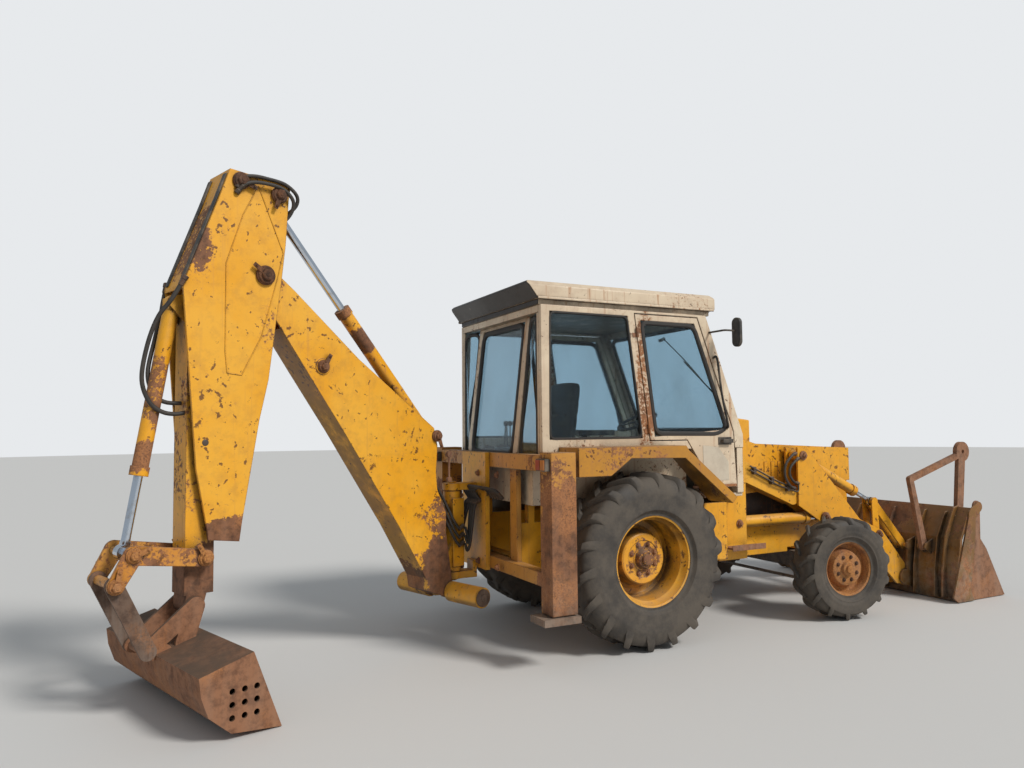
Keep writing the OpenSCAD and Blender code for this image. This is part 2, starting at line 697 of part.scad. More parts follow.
module lift_ram_barrels() color(paint) at_arms() aimed(lift_base, lift_eye)
    ram_barrel(55, 90, 30 + fit, 55, 950, 30);
module lift_ram_rods() color(chrome) at_arms() aimed(lift_base, lift_eye)
    ram_rod(280, norm(lift_eye - lift_base), 30, 40, 52, 90, 30, arm_gap - 2 * gap);
module tilt_ram_barrels() color(paint) at_arms() aimed(tilt_base, lever_top)
    ram_barrel(50, 90, 30 + fit, 48, 880, 22);
module tilt_ram_rods() color(chrome) at_arms() aimed(tilt_base, lever_top)
    ram_rod(430, norm(lever_top - tilt_base), 22, 36, 45, 30, 22, 30);
module tilt_levers() color(paint) at_arms() {
    difference() {
        plates(47, 59) strap(lever_foot, 48, lever_top, 45);
        bar(lever_foot, 30 + fit, -100, 100);
    }
    bar(lever_top, 25, 28, 47);
    bar(lever_top, 25, -47, -28);
}
module tilt_links() color(paint) at_arms() {
    difference() {
        plates(28, 41) strap(lever_top, 42, link_eye, 42);
        bar(lever_top, 25 + fit, -100, 100);
    }
    bar(link_eye, 25, -arm_gap / 2 - arm_plate, arm_gap / 2 + arm_plate);
}

shovel_outline = [[3530, 60], [3600, 8], [3850, 8], [3800, 115], [3900, 560], [3935, 905], [3850, 925]];
board = [[3640, 24], [3700, 24], [3665, 300], [3725, 620], [3890, 900], [3870, 925], [3850, 925], [3690, 620], [3625, 300]];

// Back of the clam shovel
module shovel_back() placed() color(paint) {
    plates(shovel_y - shovel_t, shovel_y) {
        polygon(shovel_outline);
        strap([3880, 860], 60, clam_pivot, 50);
    }
    plate(-shovel_y + shovel_t, shovel_y - shovel_t) {
        polygon(board);
        polygon([[3640, 8], [3850, 8], [3830, 30], [3640, 30]]);
    }
    for (side = [-1, 1]) translate([0, side * arm_y, 0]) {
        plates(arm_gap / 2 + arm_plate + gap, arm_gap / 2 + arm_plate + gap + 20) {
            polygon([[3510, 110], [3650, 60], [3700, 600], [3560, 560]]);
            disc(shovel_pivot, 80);
            disc(link_eye, 50);
        }
        bar(shovel_pivot, 30, -arm_gap / 2 - arm_plate - gap, arm_gap / 2 + arm_plate + gap);
    }
    for (side = [-1, 1]) translate([0, side * 800, 0]) {
        plates(28, 46) {
            polygon([[3585, 485], [3664, 440], [3700, 600], [3585, 555]]);
            disc(fork_pivot, 38);
        }
        bar(fork_pivot, 20, -46, 46);
    }
    for (side = [-1, 1])
        bar(clam_pivot, 25, min(side * (shovel_y - shovel_t - 30), side * (shovel_y - shovel_t)),
            max(side * (shovel_y - shovel_t - 30), side * (shovel_y - shovel_t)));
}

// Front jaw of the clam shovel
module shovel_clam() placed() color(rust) {
    side_y = shovel_y - shovel_t - gap;
    difference() {
        plates(side_y - shovel_t, side_y) {
            polygon([[3880, 8], [4380, 8], [4110, 500], [4020, 605], [4030, 900], [3950, 900], [3930, 560], [3830, 115]]);
            disc(clam_pivot, 60);
        }
        bar(clam_pivot, 25 + fit, -shovel_y, shovel_y);
    }
    plate(-side_y + shovel_t, side_y - shovel_t) polygon([[3880, 8], [4380, 8], [4350, 24], [3880, 30]]);
}

// Frames of the fold-over forks
module fork_frames() placed() color(rust) {
    for (side = [-1, 1]) translate([0, side * 800, 0]) difference() {
        plate(-22, 22) {
            strap(fork_pivot, 40, [3420, 1210], 30);
            strap([3420, 1210], 30, [4250, 1450], 30);
            strap([4250, 1450], 55, [4170, 760], 50);
            disc([4265, 1475], 105);
        }
        bar([4265, 1475], 22, -50, 50);
        bar(fork_pivot, 20 + fit, -50, 50);
    }
}

chassis();
engine_block();
scuttle();
bonnet();
radiator_cowl();
lamps();
front_axle();
rear_axle();
side_tanks();
rear_frame();
mudguards();
cab_tub();
cab_frame();
cab_roof();
cab_glass();
door_left();
door_right();
door_glass_left();
door_glass_right();
seat();
controls();
mirrors();
tyre_rear_left();
tyre_rear_right();
tyre_front_left();
tyre_front_right();
rim_rear_left();
rim_rear_right();
rim_front_left();
rim_front_right();
knuckle_left();
knuckle_right();
track_rod();
stabiliser_left();
stabiliser_right();
carriage();
kingpost();
boom();
boom_ram_barrel();
boom_ram_rod();
dipper_outer();
dipper_ram_barrel();
dipper_ram_rod();
dipper_inner();
bucket_ram_barrel();
bucket_ram_rod();
tipping_levers();
tipping_links();
hoe_bucket();
loader_arms();
lift_ram_barrels();
lift_ram_rods();
tilt_levers();
tilt_ram_barrels();
tilt_ram_rods();
tilt_links();
shovel_back();
shovel_clam();
fork_frames();
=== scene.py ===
# %% [markdown]
# # A weathered backhoe loader
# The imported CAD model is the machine's frame: every plate, ram and wheel is already at its real size and
# place. These cells give it its looks. Each step says what the real thing is, how it could be made, and
# why this way was chosen. Lengths are metres; X runs forward, Y to the machine's left and Z up from the
# ground.

# %% Load the frame
import json
import math
import random

import bmesh
import bpy
from mathutils import Matrix, Vector

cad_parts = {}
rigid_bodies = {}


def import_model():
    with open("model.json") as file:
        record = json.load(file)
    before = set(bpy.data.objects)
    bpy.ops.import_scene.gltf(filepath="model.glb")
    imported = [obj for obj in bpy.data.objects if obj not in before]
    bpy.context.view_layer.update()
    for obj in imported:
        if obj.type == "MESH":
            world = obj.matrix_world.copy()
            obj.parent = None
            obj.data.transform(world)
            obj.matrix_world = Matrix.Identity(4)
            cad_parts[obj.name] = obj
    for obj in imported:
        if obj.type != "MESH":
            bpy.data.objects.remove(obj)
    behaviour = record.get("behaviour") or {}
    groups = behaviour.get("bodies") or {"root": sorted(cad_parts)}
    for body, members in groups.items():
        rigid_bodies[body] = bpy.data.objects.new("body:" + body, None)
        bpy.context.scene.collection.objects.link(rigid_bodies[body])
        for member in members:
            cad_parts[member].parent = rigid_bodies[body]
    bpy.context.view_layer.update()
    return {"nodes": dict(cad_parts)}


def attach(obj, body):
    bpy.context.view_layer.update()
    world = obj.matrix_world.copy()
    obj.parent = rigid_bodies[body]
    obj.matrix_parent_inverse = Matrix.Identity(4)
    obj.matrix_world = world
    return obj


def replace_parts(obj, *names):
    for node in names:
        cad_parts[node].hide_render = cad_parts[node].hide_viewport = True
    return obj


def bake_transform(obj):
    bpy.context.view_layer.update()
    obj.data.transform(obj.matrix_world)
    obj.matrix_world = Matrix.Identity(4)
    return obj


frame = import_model()
nodes = frame["nodes"]

# %% [markdown]
# ## Places on the machine
# The drawing measures from the rear axle, and the backhoe from its own foot pin, turned to the right on
# its kingpost. Two small functions turn those workshop coordinates into the frame's, so that a hose can
# be placed by the same numbers as the bracket it is bolted to.

# %% Workshop coordinates
MIDDLE = Vector((0.190, -0.095, 0.0))
FOOT_PIN = Vector((-1.360, 0.110, 0.0))
SLEW = math.radians(180 + 18)


def at(x, y, z):
    """A point measured from the rear axle's middle, in the frame."""
    return Vector((x, y, z)) - MIDDLE


def hoe(r, s, z):
    """A point in the backhoe's plane: r out from the foot pin, s across, z up."""
    turn = Matrix.Rotation(SLEW, 3, "Z")
    return turn @ Vector((r, s, 0)) + Vector((0, 0, z)) + FOOT_PIN - MIDDLE


print("boom foot at", [round(v, 3) for v in hoe(0, 0, 0.42)])

# %% [markdown]
# ## Camera
# The photograph was taken by someone standing off the right rear corner, with a wide phone lens held at
# head height. The camera repeats that stand and lens, so that the render can be laid over the photograph.

# %% Camera
LENS_MM, SENSOR_MM = 27.04, 36.0
EYE = at(-3.7635, -6.0734, 1.7807)
YAW, PITCH, ROLL = math.radians(26.56), math.radians(3.22), math.radians(-0.54)


def make_camera():
    data = bpy.data.cameras.new("camera")
    data.sensor_fit = "HORIZONTAL"
    data.sensor_width = SENSOR_MM
    data.lens = LENS_MM
    camera = bpy.data.objects.new("camera", data)
    bpy.context.scene.collection.objects.link(camera)
    ahead = Vector((math.sin(YAW) * math.cos(PITCH), math.cos(YAW) * math.cos(PITCH), math.sin(PITCH)))
    right = ahead.cross(Vector((0, 0, 1))).normalized()
    up = right.cross(ahead)
    rolled_right = right * math.cos(ROLL) + up * math.sin(ROLL)
    rolled_up = up * math.cos(ROLL) - right * math.sin(ROLL)
    turn = Matrix((rolled_right, rolled_up, -ahead)).transposed()
    camera.matrix_world = Matrix.Translation(EYE) @ turn.to_4x4()
    bpy.context.scene.camera = camera
    return camera


camera = make_camera()
print("camera height", round(camera.location.z, 2))

# %% [markdown]
# ## Light and floor
# A plain studio: one broad soft key from the camera's right, as the sun stood in the photograph, an even
# pale surround as fill, and a pale floor that takes the shadow. The surround is brighter to the camera
# than to the machine, so the picture's ground stays white while the paint keeps its own colour.

# %% Light and floor
KEY_STRENGTH = 2.5
FILL_STRENGTH = 0.42
KEY_ANGLE = math.radians(14)
KEY_FROM = Vector((0.45, -0.78, 0.80))
KEY_WARM = (1.0, 0.975, 0.94)
FILL_BLUE = (0.86, 0.93, 1.0, 1)
BACKDROP = (0.80, 0.82, 0.84, 1)
FLOOR_GREY = (0.62, 0.61, 0.59, 1)
FLOOR_RADIUS, FLOOR_SIDES = 60, 64


def make_key():
    data = bpy.data.lights.new("key", "SUN")
    data.energy = KEY_STRENGTH
    data.angle = KEY_ANGLE
    data.color = KEY_WARM
    key = bpy.data.objects.new("key", data)
    bpy.context.scene.collection.objects.link(key)
    key.rotation_euler = (-KEY_FROM).to_track_quat("-Z", "Y").to_euler()


def make_surround():
    world = bpy.data.worlds.new("surround")
    bpy.context.scene.world = world
    world.use_nodes = True
    tree = world.node_tree
    tree.nodes.clear()
    path = tree.nodes.new("ShaderNodeLightPath")
    fill = tree.nodes.new("ShaderNodeBackground")
    fill.inputs["Color"].default_value = FILL_BLUE
    fill.inputs["Strength"].default_value = FILL_STRENGTH
    seen = tree.nodes.new("ShaderNodeBackground")
    seen.inputs["Color"].default_value = BACKDROP
    seen.inputs["Strength"].default_value = 1.0
    straight = tree.nodes.new("ShaderNodeMath")
    straight.operation = "MAXIMUM"
    both = tree.nodes.new("ShaderNodeMixShader")
    out = tree.nodes.new("ShaderNodeOutputWorld")
    tree.links.new(path.outputs["Is Camera Ray"], straight.inputs[0])
    tree.links.new(path.outputs["Is Transmission Ray"], straight.inputs[1])
    tree.links.new(straight.outputs[0], both.inputs[0])
    tree.links.new(fill.outputs[0], both.inputs[1])
    tree.links.new(seen.outputs[0], both.inputs[2])
    tree.links.new(both.outputs[0], out.inputs["Surface"])


def make_floor():
    rim = [(FLOOR_RADIUS * math.cos(a), FLOOR_RADIUS * math.sin(a), 0)
           for a in (math.tau * i / FLOOR_SIDES for i in range(FLOOR_SIDES))]
    mesh = bpy.data.meshes.new("floor")
    mesh.from_pydata(rim, [], [list(range(FLOOR_SIDES))])
    floor = bpy.data.objects.new("floor", mesh)
    bpy.context.scene.collection.objects.link(floor)
    material = bpy.data.materials.new("studio_floor")
    material.use_nodes = True
    shader = material.node_tree.nodes["Principled BSDF"]
    shader.inputs["Base Color"].default_value = FLOOR_GREY
    shader.inputs["Roughness"].default_value = 0.85
    mesh.materials.append(material)


make_key()
make_surround()
make_floor()
bpy.context.scene.view_settings.view_transform = "Standard"

# %% [markdown]
# ## A short hand for shader nodes
# Old paint is a stack of small effects: tone, chips, streaks, painted shade with grime, dust. Written out
# node by node that is long, so a small class adds a node, sets its sockets and links it in one call.

# %% Node helper


class Graph:
    """Adds and links nodes in one shader tree."""

    def __init__(self, tree):
        self.tree = tree

    def add(self, kind, sockets=None, **settings):
        made = self.tree.nodes.new(kind)
        for name, value in settings.items():
            setattr(made, name, value)
        for label, value in (sockets or {}).items():
            self.plug(value, made.inputs[label])
        return made

    def plug(self, value, socket):
        """Links a socket to a socket, or sets a plain value on it."""
        if isinstance(value, bpy.types.NodeSocket):
            self.tree.links.new(value, socket)
        else:
            socket.default_value = value

    def math(self, operation, a, b=0.0):
        return self.add("ShaderNodeMath", {0: a, 1: b}, operation=operation).outputs[0]

    def plus(self, a, b):
        return self.math("ADD", a, b)

    def minus(self, a, b):
        return self.math("SUBTRACT", a, b)

    def times(self, a, b):
        return self.math("MULTIPLY", a, b)

    def most(self, a, b):
        return self.math("MAXIMUM", a, b)

    def noise(self, vector, scale, detail=4.0, roughness=0.55):
        sockets = {"Vector": vector, "Scale": scale, "Detail": detail, "Roughness": roughness}
        return self.add("ShaderNodeTexNoise", sockets).outputs["Fac"]

    def stretch(self, vector, scale, shift=(0, 0, 0)):
        return self.add("ShaderNodeMapping", {"Vector": vector, "Scale": scale, "Location": shift}).outputs[0]

    def slant(self, vector, turn, cell):
        """Space turned about the machine's width and cut into long cells of the given size."""
        sockets = {"Vector": vector, "Rotation": (0, math.radians(turn), 0), "Scale": cell}
        return self.add("ShaderNodeMapping", sockets, vector_type="TEXTURE").outputs[0]

    def ramp(self, value, low, high):
        """0 at low, 1 at high, smooth between; low may be above high."""
        sockets = {"Value": value, "From Min": low, "From Max": high}
        return self.add("ShaderNodeMapRange", sockets, interpolation_type="SMOOTHSTEP").outputs[0]

    def spots(self, vector, reach, ragged):
        """1 inside small ragged spots, one to each cell of the space; reach is their radius in cells."""
        cell = self.add("ShaderNodeTexVoronoi", {"Vector": vector, "Scale": 1.0}).outputs["Distance"]
        return self.ramp(self.plus(cell, ragged), reach, self.minus(reach, 0.05))

    def use(self, group, **values):
        """Places a node group and sets or links its inputs; an underscore stands for a space."""
        made = self.add("ShaderNodeGroup", node_tree=group)
        for label, value in values.items():
            self.plug(value, made.inputs[label.replace("_", " ")])
        return made

    def bumps(self, height, strength, distance, shader):
        """Relief on a shader from a height."""
        bump = self.add("ShaderNodeBump", {"Height": height, "Strength": strength, "Distance": distance})
        self.plug(bump.outputs[0], shader.inputs["Normal"])
        return bump

    def mix(self, factor, a, b):
        return self.add("ShaderNodeMix", {0: factor, 6: a, 7: b}, data_type="RGBA").outputs[2]

    def blend(self, factor, a, b):
        return self.add("ShaderNodeMix", {0: factor, 2: a, 3: b}, data_type="FLOAT").outputs[0]

    def place(self):
        """Where the point lies on the resting machine, whatever its body does."""
        return self.add("ShaderNodeTexCoord").outputs["Object"]

    def facing(self, axis):
        """How far the surface faces along one axis."""
        normal = self.add("ShaderNodeNewGeometry").outputs["Normal"]
        return self.add("ShaderNodeSeparateXYZ", {0: normal}).outputs[axis]


def new_group(name, inputs, outputs):
    """An empty node group with named sockets, and its two end nodes."""
    group = bpy.data.node_groups.new(name, "ShaderNodeTree")
    for kind, label, value in inputs:
        socket = group.interface.new_socket(label, in_out="INPUT", socket_type="NodeSocket" + kind)
        socket.default_value = value
    for kind, label in outputs:
        group.interface.new_socket(label, in_out="OUTPUT", socket_type="NodeSocket" + kind)
    graph = Graph(group)
    return group, graph, graph.add("NodeGroupInput").outputs, graph.add("NodeGroupOutput").inputs


# %% [markdown]
# ## Worn edges
# Paint goes first where a plate has a corner. The Bevel node looks a little way round each point and tips
# its normal over an edge; how far that normal has tipped is a ready-made mask of edges, whatever the mesh
# looks like. The same softened normal also takes the razor look off the CAD plates, so the group gives
# both.

# %% Edge group


def make_edges():
    group, g, given, made = new_group(
        "worn_edges", [("Float", "Radius", 0.01)], [("Float", "Mask"), ("Vector", "Normal")])
    bevel = g.add("ShaderNodeBevel", {"Radius": given["Radius"]}, samples=4)
    flat = g.add("ShaderNodeNewGeometry").outputs["Normal"]
    facing = g.add("ShaderNodeVectorMath", {0: bevel.outputs[0], 1: flat}, operation="DOT_PRODUCT")
    g.plug(g.ramp(facing.outputs["Value"], 0.995, 0.80), made["Mask"])
    g.plug(bevel.outputs[0], made["Normal"])
    return group


edges_group = make_edges()

# %% [markdown]
# ## Painted shade, grime and dust
# Corners and faces that turn down are darkened in brown patches like grime: this is painted shade. Dust lies
# on what faces up, and splash rises from the ground. Ambient occlusion finds the corners, the surface normal
# finds the undersides and the ledges, and height finds the splash.

# %% Painted shade and dirt group


def make_shade_and_dirt():
    group, g, given, made = new_group(
        "shade_grime_and_dust", [("Float", "Grime", 0.6), ("Float", "Dust", 0.4), ("Float", "Reach", 0.14)],
        [("Float", "Grime"), ("Float", "Dust")])
    place = g.place()
    # Painted shade: ambient occlusion darkens corners and recesses, in patches like grime.
    corner = g.add("ShaderNodeAmbientOcclusion", {"Distance": given["Reach"]}, samples=4).outputs["AO"]
    patchy = g.noise(place, 5.0, 6.0, 0.65)
    deep = g.times(g.ramp(corner, 0.88, 0.30), g.ramp(patchy, 0.25, 0.60))
    # Painted shade: faces that turn down are darkened as well.
    below = g.times(g.ramp(g.facing("Z"), -0.15, -0.55), g.ramp(patchy, 0.22, 0.52))
    deep = g.most(deep, g.times(below, 0.80))
    height = g.add("ShaderNodeSeparateXYZ", {0: place}).outputs["Z"]
    ledge = g.times(g.ramp(g.facing("Z"), 0.2, 0.9), g.ramp(patchy, 0.30, 0.60))
    splash = g.times(g.ramp(height, 0.9, 0.1), g.ramp(g.noise(place, 14.0, 7.0, 0.7), 0.35, 0.65))
    g.plug(g.times(deep, given["Grime"]), made["Grime"])
    g.plug(g.times(g.most(ledge, splash), given["Dust"]), made["Dust"])
    return group


shade_dirt_group = make_shade_and_dirt()

# %% [markdown]
# ## Rust
# Rust is never one brown. Dark scale, orange bloom and a dusty pink film overlap at three scales, and its
# pits catch the light. The group gives colour, roughness and height, for bare steel and for every chip in
# the paint. Its colours are inputs, because a bucket that works every day is brown and smooth while a
# lever that only weathers turns orange.

# %% Rust group
SCALE_BROWN = (0.085, 0.038, 0.019, 1)
RUST_BROWN = (0.215, 0.092, 0.043, 1)
RUST_ORANGE = (0.400, 0.165, 0.060, 1)
RUST_PINK = (0.400, 0.235, 0.155, 1)


def make_rust():
    group, g, given, made = new_group(
        "rust", [("Float", "Bloom", 0.5), ("Float", "Film", 0.5), ("Color", "Dark", SCALE_BROWN),
                 ("Color", "Middle", RUST_BROWN), ("Color", "Bright", RUST_ORANGE),
                 ("Color", "Dusty", RUST_PINK)],
        [("Color", "Color"), ("Float", "Roughness"), ("Float", "Height")])
    place = g.place()
    broad = g.noise(place, 2.6, 5.0, 0.6)
    middle = g.noise(place, 17.0, 8.0, 0.7)
    fine = g.noise(place, 85.0, 5.0, 0.7)
    drips = g.noise(g.stretch(place, (13, 13, 1.6)), 1.0, 6.0, 0.65)
    colour = g.mix(g.ramp(middle, 0.34, 0.60), given["Dark"], given["Middle"])
    broad = g.plus(broad, g.times(given["Bloom"], 0.2))
    bloom = g.times(g.ramp(broad, 0.50, 0.72), g.ramp(fine, 0.32, 0.60))
    film = g.times(g.ramp(drips, 0.40, 0.66), given["Film"])
    colour = g.mix(film, g.mix(bloom, colour, given["Bright"]), given["Dusty"])
    g.plug(colour, made["Color"])
    g.plug(g.blend(film, 0.92, 0.74), made["Roughness"])
    g.plug(g.plus(g.times(middle, 0.6), g.times(fine, 0.4)), made["Height"])
    return group


rust_group = make_rust()

# %% [markdown]
# ## Old paint
# One group makes every painted surface. Two tones of the same colour stand for sun fade; chips open to
# rust, more on edges and in patches; a stain surrounds each chip; short knocks and scratches are
# scattered over the plates; thin streaks run down from them; painted shade in corners and under faces,
# patchy like grime, and dust lie over it all. Each material sets its own colour and how badly it has
# worn, and Bare strips whole places.

# %% Paint group
# The dark brown below is painted shade for corners and undersides, patchy like grime.
SHADE_GRIME_BROWN = (0.036, 0.024, 0.015, 1)
KNOCK_BROWN = (0.100, 0.034, 0.014, 1)
DUST_TAN = (0.340, 0.270, 0.200, 1)


def make_old_paint():
    group, g, given, made = new_group(
        "old_paint",
        [("Color", "Paint", (0.8, 0.4, 0.02, 1)), ("Color", "Faded", (0.8, 0.5, 0.1, 1)),
         ("Float", "Chips", 0.3), ("Float", "Edge Wear", 0.5), ("Float", "Streaks", 0.4),
         ("Float", "Grime", 0.6), ("Float", "Dust", 0.3), ("Float", "Knocks", 1.0), ("Float", "Bare", 0.0)],
        [("Color", "Color"), ("Float", "Roughness"), ("Float", "Height"), ("Vector", "Normal")])
    place = g.place()
    edges = g.use(edges_group, Radius=0.010)
    rust = g.use(rust_group, Film=0.14, Bloom=0.45)
    shade_and_dirt = g.use(shade_dirt_group, Grime=given["Grime"], Dust=given["Dust"])

    tone = g.ramp(g.noise(place, 1.4, 4.0, 0.6), 0.36, 0.66)
    colour = g.mix(tone, given["Paint"], given["Faded"])
    mottle = g.noise(place, 11.0, 7.0, 0.7)
    colour = g.mix(g.times(g.ramp(mottle, 0.56, 0.30), 0.22), colour, RUST_BROWN)

    patches = g.ramp(g.noise(place, 2.3, 5.0, 0.65), 0.42, 0.66)
    flake = g.noise(place, 34.0, 6.0, 0.68)
    ragged = g.times(g.minus(g.noise(place, 60.0, 4.0, 0.7), 0.5), 0.9)
    reach = g.times(g.plus(g.times(patches, 0.15), 0.10), given["Knocks"])
    warp = g.add("ShaderNodeTexNoise", {"Vector": place, "Scale": 4.0, "Detail": 2.0}).outputs["Color"]
    bent = g.add("ShaderNodeVectorMath", {0: warp, 1: (0.22, 0.22, 0.22), 2: place}, operation="MULTIPLY_ADD")
    bent = bent.outputs[0]
    knocks = g.spots(g.slant(bent, 24, (0.056, 0.056, 0.150)), reach, ragged)
    knocks = g.most(knocks, g.spots(g.slant(bent, -58, (0.060, 0.060, 0.170)), reach, ragged))
    worn = g.times(edges.outputs["Mask"], given["Edge Wear"])
    worn = g.plus(worn, g.times(patches, given["Chips"]))
    worn = g.plus(worn, given["Bare"])
    limit = g.minus(0.76, g.times(worn, 0.34))
    lifted = g.minus(flake, limit)
    chips = g.ramp(lifted, 0.0, 0.022)
    stain = g.times(g.ramp(lifted, -0.11, 0.0), 0.40)

    run = g.noise(g.stretch(place, (22, 22, 0.9)), 1.0, 4.0, 0.6)
    steep = g.ramp(g.math("ABSOLUTE", g.facing("Z")), 0.8, 0.3)
    streaks = g.times(g.ramp(run, 0.56, 0.74), given["Streaks"])
    streaks = g.times(g.times(streaks, steep), g.ramp(mottle, 0.2, 0.6))

    colour = g.mix(g.most(stain, streaks), colour, RUST_ORANGE)
    colour = g.mix(g.times(knocks, 0.85), colour, KNOCK_BROWN)
    colour = g.mix(chips, colour, rust.outputs["Color"])
    # Painted shade: corners and downward faces are darkened brown, in patches like grime.
    colour = g.mix(shade_and_dirt.outputs["Grime"], colour, SHADE_GRIME_BROWN)
    colour = g.mix(shade_and_dirt.outputs["Dust"], colour, DUST_TAN)

    rough = g.blend(g.most(chips, g.most(shade_and_dirt.outputs["Dust"], streaks)),
                    g.blend(tone, 0.34, 0.50), 0.88)
    film = g.times(g.minus(1.0, chips), 0.6)
    height = g.plus(film, g.times(rust.outputs["Height"], g.times(chips, 0.4)))
    g.plug(colour, made["Color"])
    g.plug(rough, made["Roughness"])
    g.plug(g.plus(height, g.times(mottle, 0.10)), made["Height"])
    g.plug(edges.outputs["Normal"], made["Normal"])
    return group


paint_group = make_old_paint()

# %% [markdown]
# ## Bare places
# Paint wears where earth, feet and rams rub: the foot of the boom, the tip of the dipper, the edge that
# scrapes the trench. A group turns a middle and three half sizes into a soft cloud with a ragged border,
# and each material adds up its own few clouds. Painting masks by hand would need texture files, and this
# needs none.

# %% Zone group


def make_zone():
    group, g, given, made = new_group(
        "bare_zone",
        [("Vector", "Middle", (0, 0, 0)), ("Vector", "Half Size", (1, 1, 1)), ("Float", "Amount", 1.0)],
        [("Float", "Mask")])
    place = g.place()
    away = g.add("ShaderNodeVectorMath", {0: place, 1: given["Middle"]}, operation="SUBTRACT").outputs[0]
    away = g.add("ShaderNodeVectorMath", {0: away, 1: given["Half Size"]}, operation="DIVIDE").outputs[0]
    away = g.add("ShaderNodeVectorMath", {0: away}, operation="LENGTH").outputs["Value"]
    ragged = g.plus(away, g.times(g.minus(g.noise(place, 7.0, 6.0, 0.7), 0.5), 1.1))
    g.plug(g.times(g.ramp(ragged, 1.15, 0.75), given["Amount"]), made["Mask"])
    return group


zone_group = make_zone()

# %% [markdown]
# ## Materials
# Each finish on the machine is one short function call: the paint group or the rust group, a Bump node
# for its relief, and a Principled shader.

# %% Material helpers
PAINT_RELIEF, RUST_RELIEF, BUCKET_RELIEF = 0.0012, 0.0025, 0.0022


def new_material(name):
    material = bpy.data.materials.new(name)
    material.use_nodes = True
    graph = Graph(material.node_tree)
    return material, graph, material.node_tree.nodes["Principled BSDF"]


def wire(graph, shader, effect, relief):
    """Links an effect group's colour, roughness and height to the shader."""
    graph.plug(effect.outputs["Color"], shader.inputs["Base Color"])
    graph.plug(effect.outputs["Roughness"], shader.inputs["Roughness"])
    bump = graph.bumps(effect.outputs["Height"], 0.7, relief, shader)
    if "Normal" in effect.outputs:
        graph.plug(effect.outputs["Normal"], bump.inputs["Normal"])


def zones_mask(graph, zones):
    """Adds up the clouds of one material."""
    total = 0.0
    for middle, half_size, amount in zones:
        zone = graph.use(zone_group, Middle=middle, Half_Size=half_size, Amount=amount)
        total = graph.plus(zone.outputs["Mask"], total)
    return total


def paint(name, colour, faded, chips, edge_wear, streaks, shade_grime, dust, zones=(), knocks=1.0):
    material, graph, shader = new_material(name)
    # The grime amount also sets the painted shade in corners and under faces.
    effect = graph.use(paint_group, Paint=colour, Faded=faded, Chips=chips, Edge_Wear=edge_wear,
                       Streaks=streaks, Grime=shade_grime, Dust=dust, Knocks=knocks)
    if zones:
        graph.plug(zones_mask(graph, zones), effect.inputs["Bare"])
    wire(graph, shader, effect, PAINT_RELIEF)
    return material


def rusty(name, bloom, film, **colours):
    material, graph, shader = new_material(name)
    colours = {label: (*value, 1) for label, value in colours.items()}
    wire(graph, shader, graph.use(rust_group, Bloom=bloom, Film=film, **colours), RUST_RELIEF)
    return material


# %% [markdown]
# ## Yellow, cream and rust
# The yellow is one colour everywhere; what changes is how much of it is left. The zones name the places
# on the machine that the photograph shows scraped, in workshop coordinates.

# %% Paints and rusts
YELLOW = (0.830, 0.365, 0.011, 1)
YELLOW_FADED = (0.850, 0.420, 0.030, 1)
CREAM = (0.780, 0.640, 0.460, 1)
CREAM_FADED = (0.640, 0.500, 0.350, 1)

yellow = paint("yellow_paint", YELLOW, YELLOW_FADED, 0.30, 0.75, 0.35, 0.8, 0.25)
boom_yellow = paint("boom_paint", YELLOW, YELLOW_FADED, 0.35, 0.85, 0.35, 0.8, 0.2, [
    (hoe(0.02, 0, 0.62), (0.34, 0.34, 0.36), 2.0), (hoe(0.10, 0, 1.05), (0.25, 0.25, 0.18), 0.7),
    (hoe(1.62, 0, 2.86), (0.16, 0.20, 0.14), 0.9)])
dipper_yellow = paint("dipper_paint", YELLOW, YELLOW_FADED, 0.32, 0.85, 0.30, 0.8, 0.2, [
    (hoe(1.97, 0, 1.06), (0.30, 0.30, 0.16), 2.2), (hoe(2.13, 0, 2.98), (0.13, 0.24, 0.44), 0.90),
    (hoe(1.64, 0, 2.50), (0.10, 0.22, 0.30), 0.5)])
slide_yellow = paint("slide_paint", YELLOW, YELLOW_FADED, 0.70, 1.0, 0.6, 0.9, 0.3, [
    (hoe(2.02, 0, 0.78), (0.45, 0.45, 0.26), 1.5)])
lever_paint = paint("lever_paint", (0.62, 0.25, 0.030, 1), (0.70, 0.33, 0.050, 1), 1.0, 1.0, 0.9, 0.7, 0.4, [
    (hoe(2.36, 0, 0.95), (0.60, 0.60, 0.40), 0.55)], 2.0)
ram_yellow = paint("ram_paint", YELLOW, YELLOW_FADED, 0.55, 0.9, 0.75, 0.8, 0.3, [
    (hoe(1.00, 0, 2.72), (0.10, 0.14, 0.11), 2.2), (hoe(0.80, 0, 2.48), (0.12, 0.14, 0.12), 1.3),
    (hoe(2.36, 0, 2.05), (0.12, 0.16, 0.26), 0.85), (hoe(2.44, 0, 1.62), (0.16, 0.16, 0.10), 1.3)])
fender_yellow = paint("fender_paint", (0.560, 0.250, 0.022, 1), (0.460, 0.210, 0.030, 1),
                      0.9, 1.0, 0.9, 0.9, 0.5)
housing_paint = paint(
    "housing_paint", (0.500, 0.215, 0.025, 1), (0.560, 0.260, 0.045, 1), 1.0, 0.9, 0.9, 0.9, 0.35,
    [(at(-0.89, -1.17, 0.80), (0.4, 0.3, 0.55), 1.5), (at(-0.89, 1.17, 0.80), (0.4, 0.3, 0.55), 1.5)])
shovel_paint = paint("shovel_paint", (0.270, 0.120, 0.018, 1), (0.160, 0.078, 0.018, 1),
                     1.5, 1.1, 0.8, 1.0, 0.4)
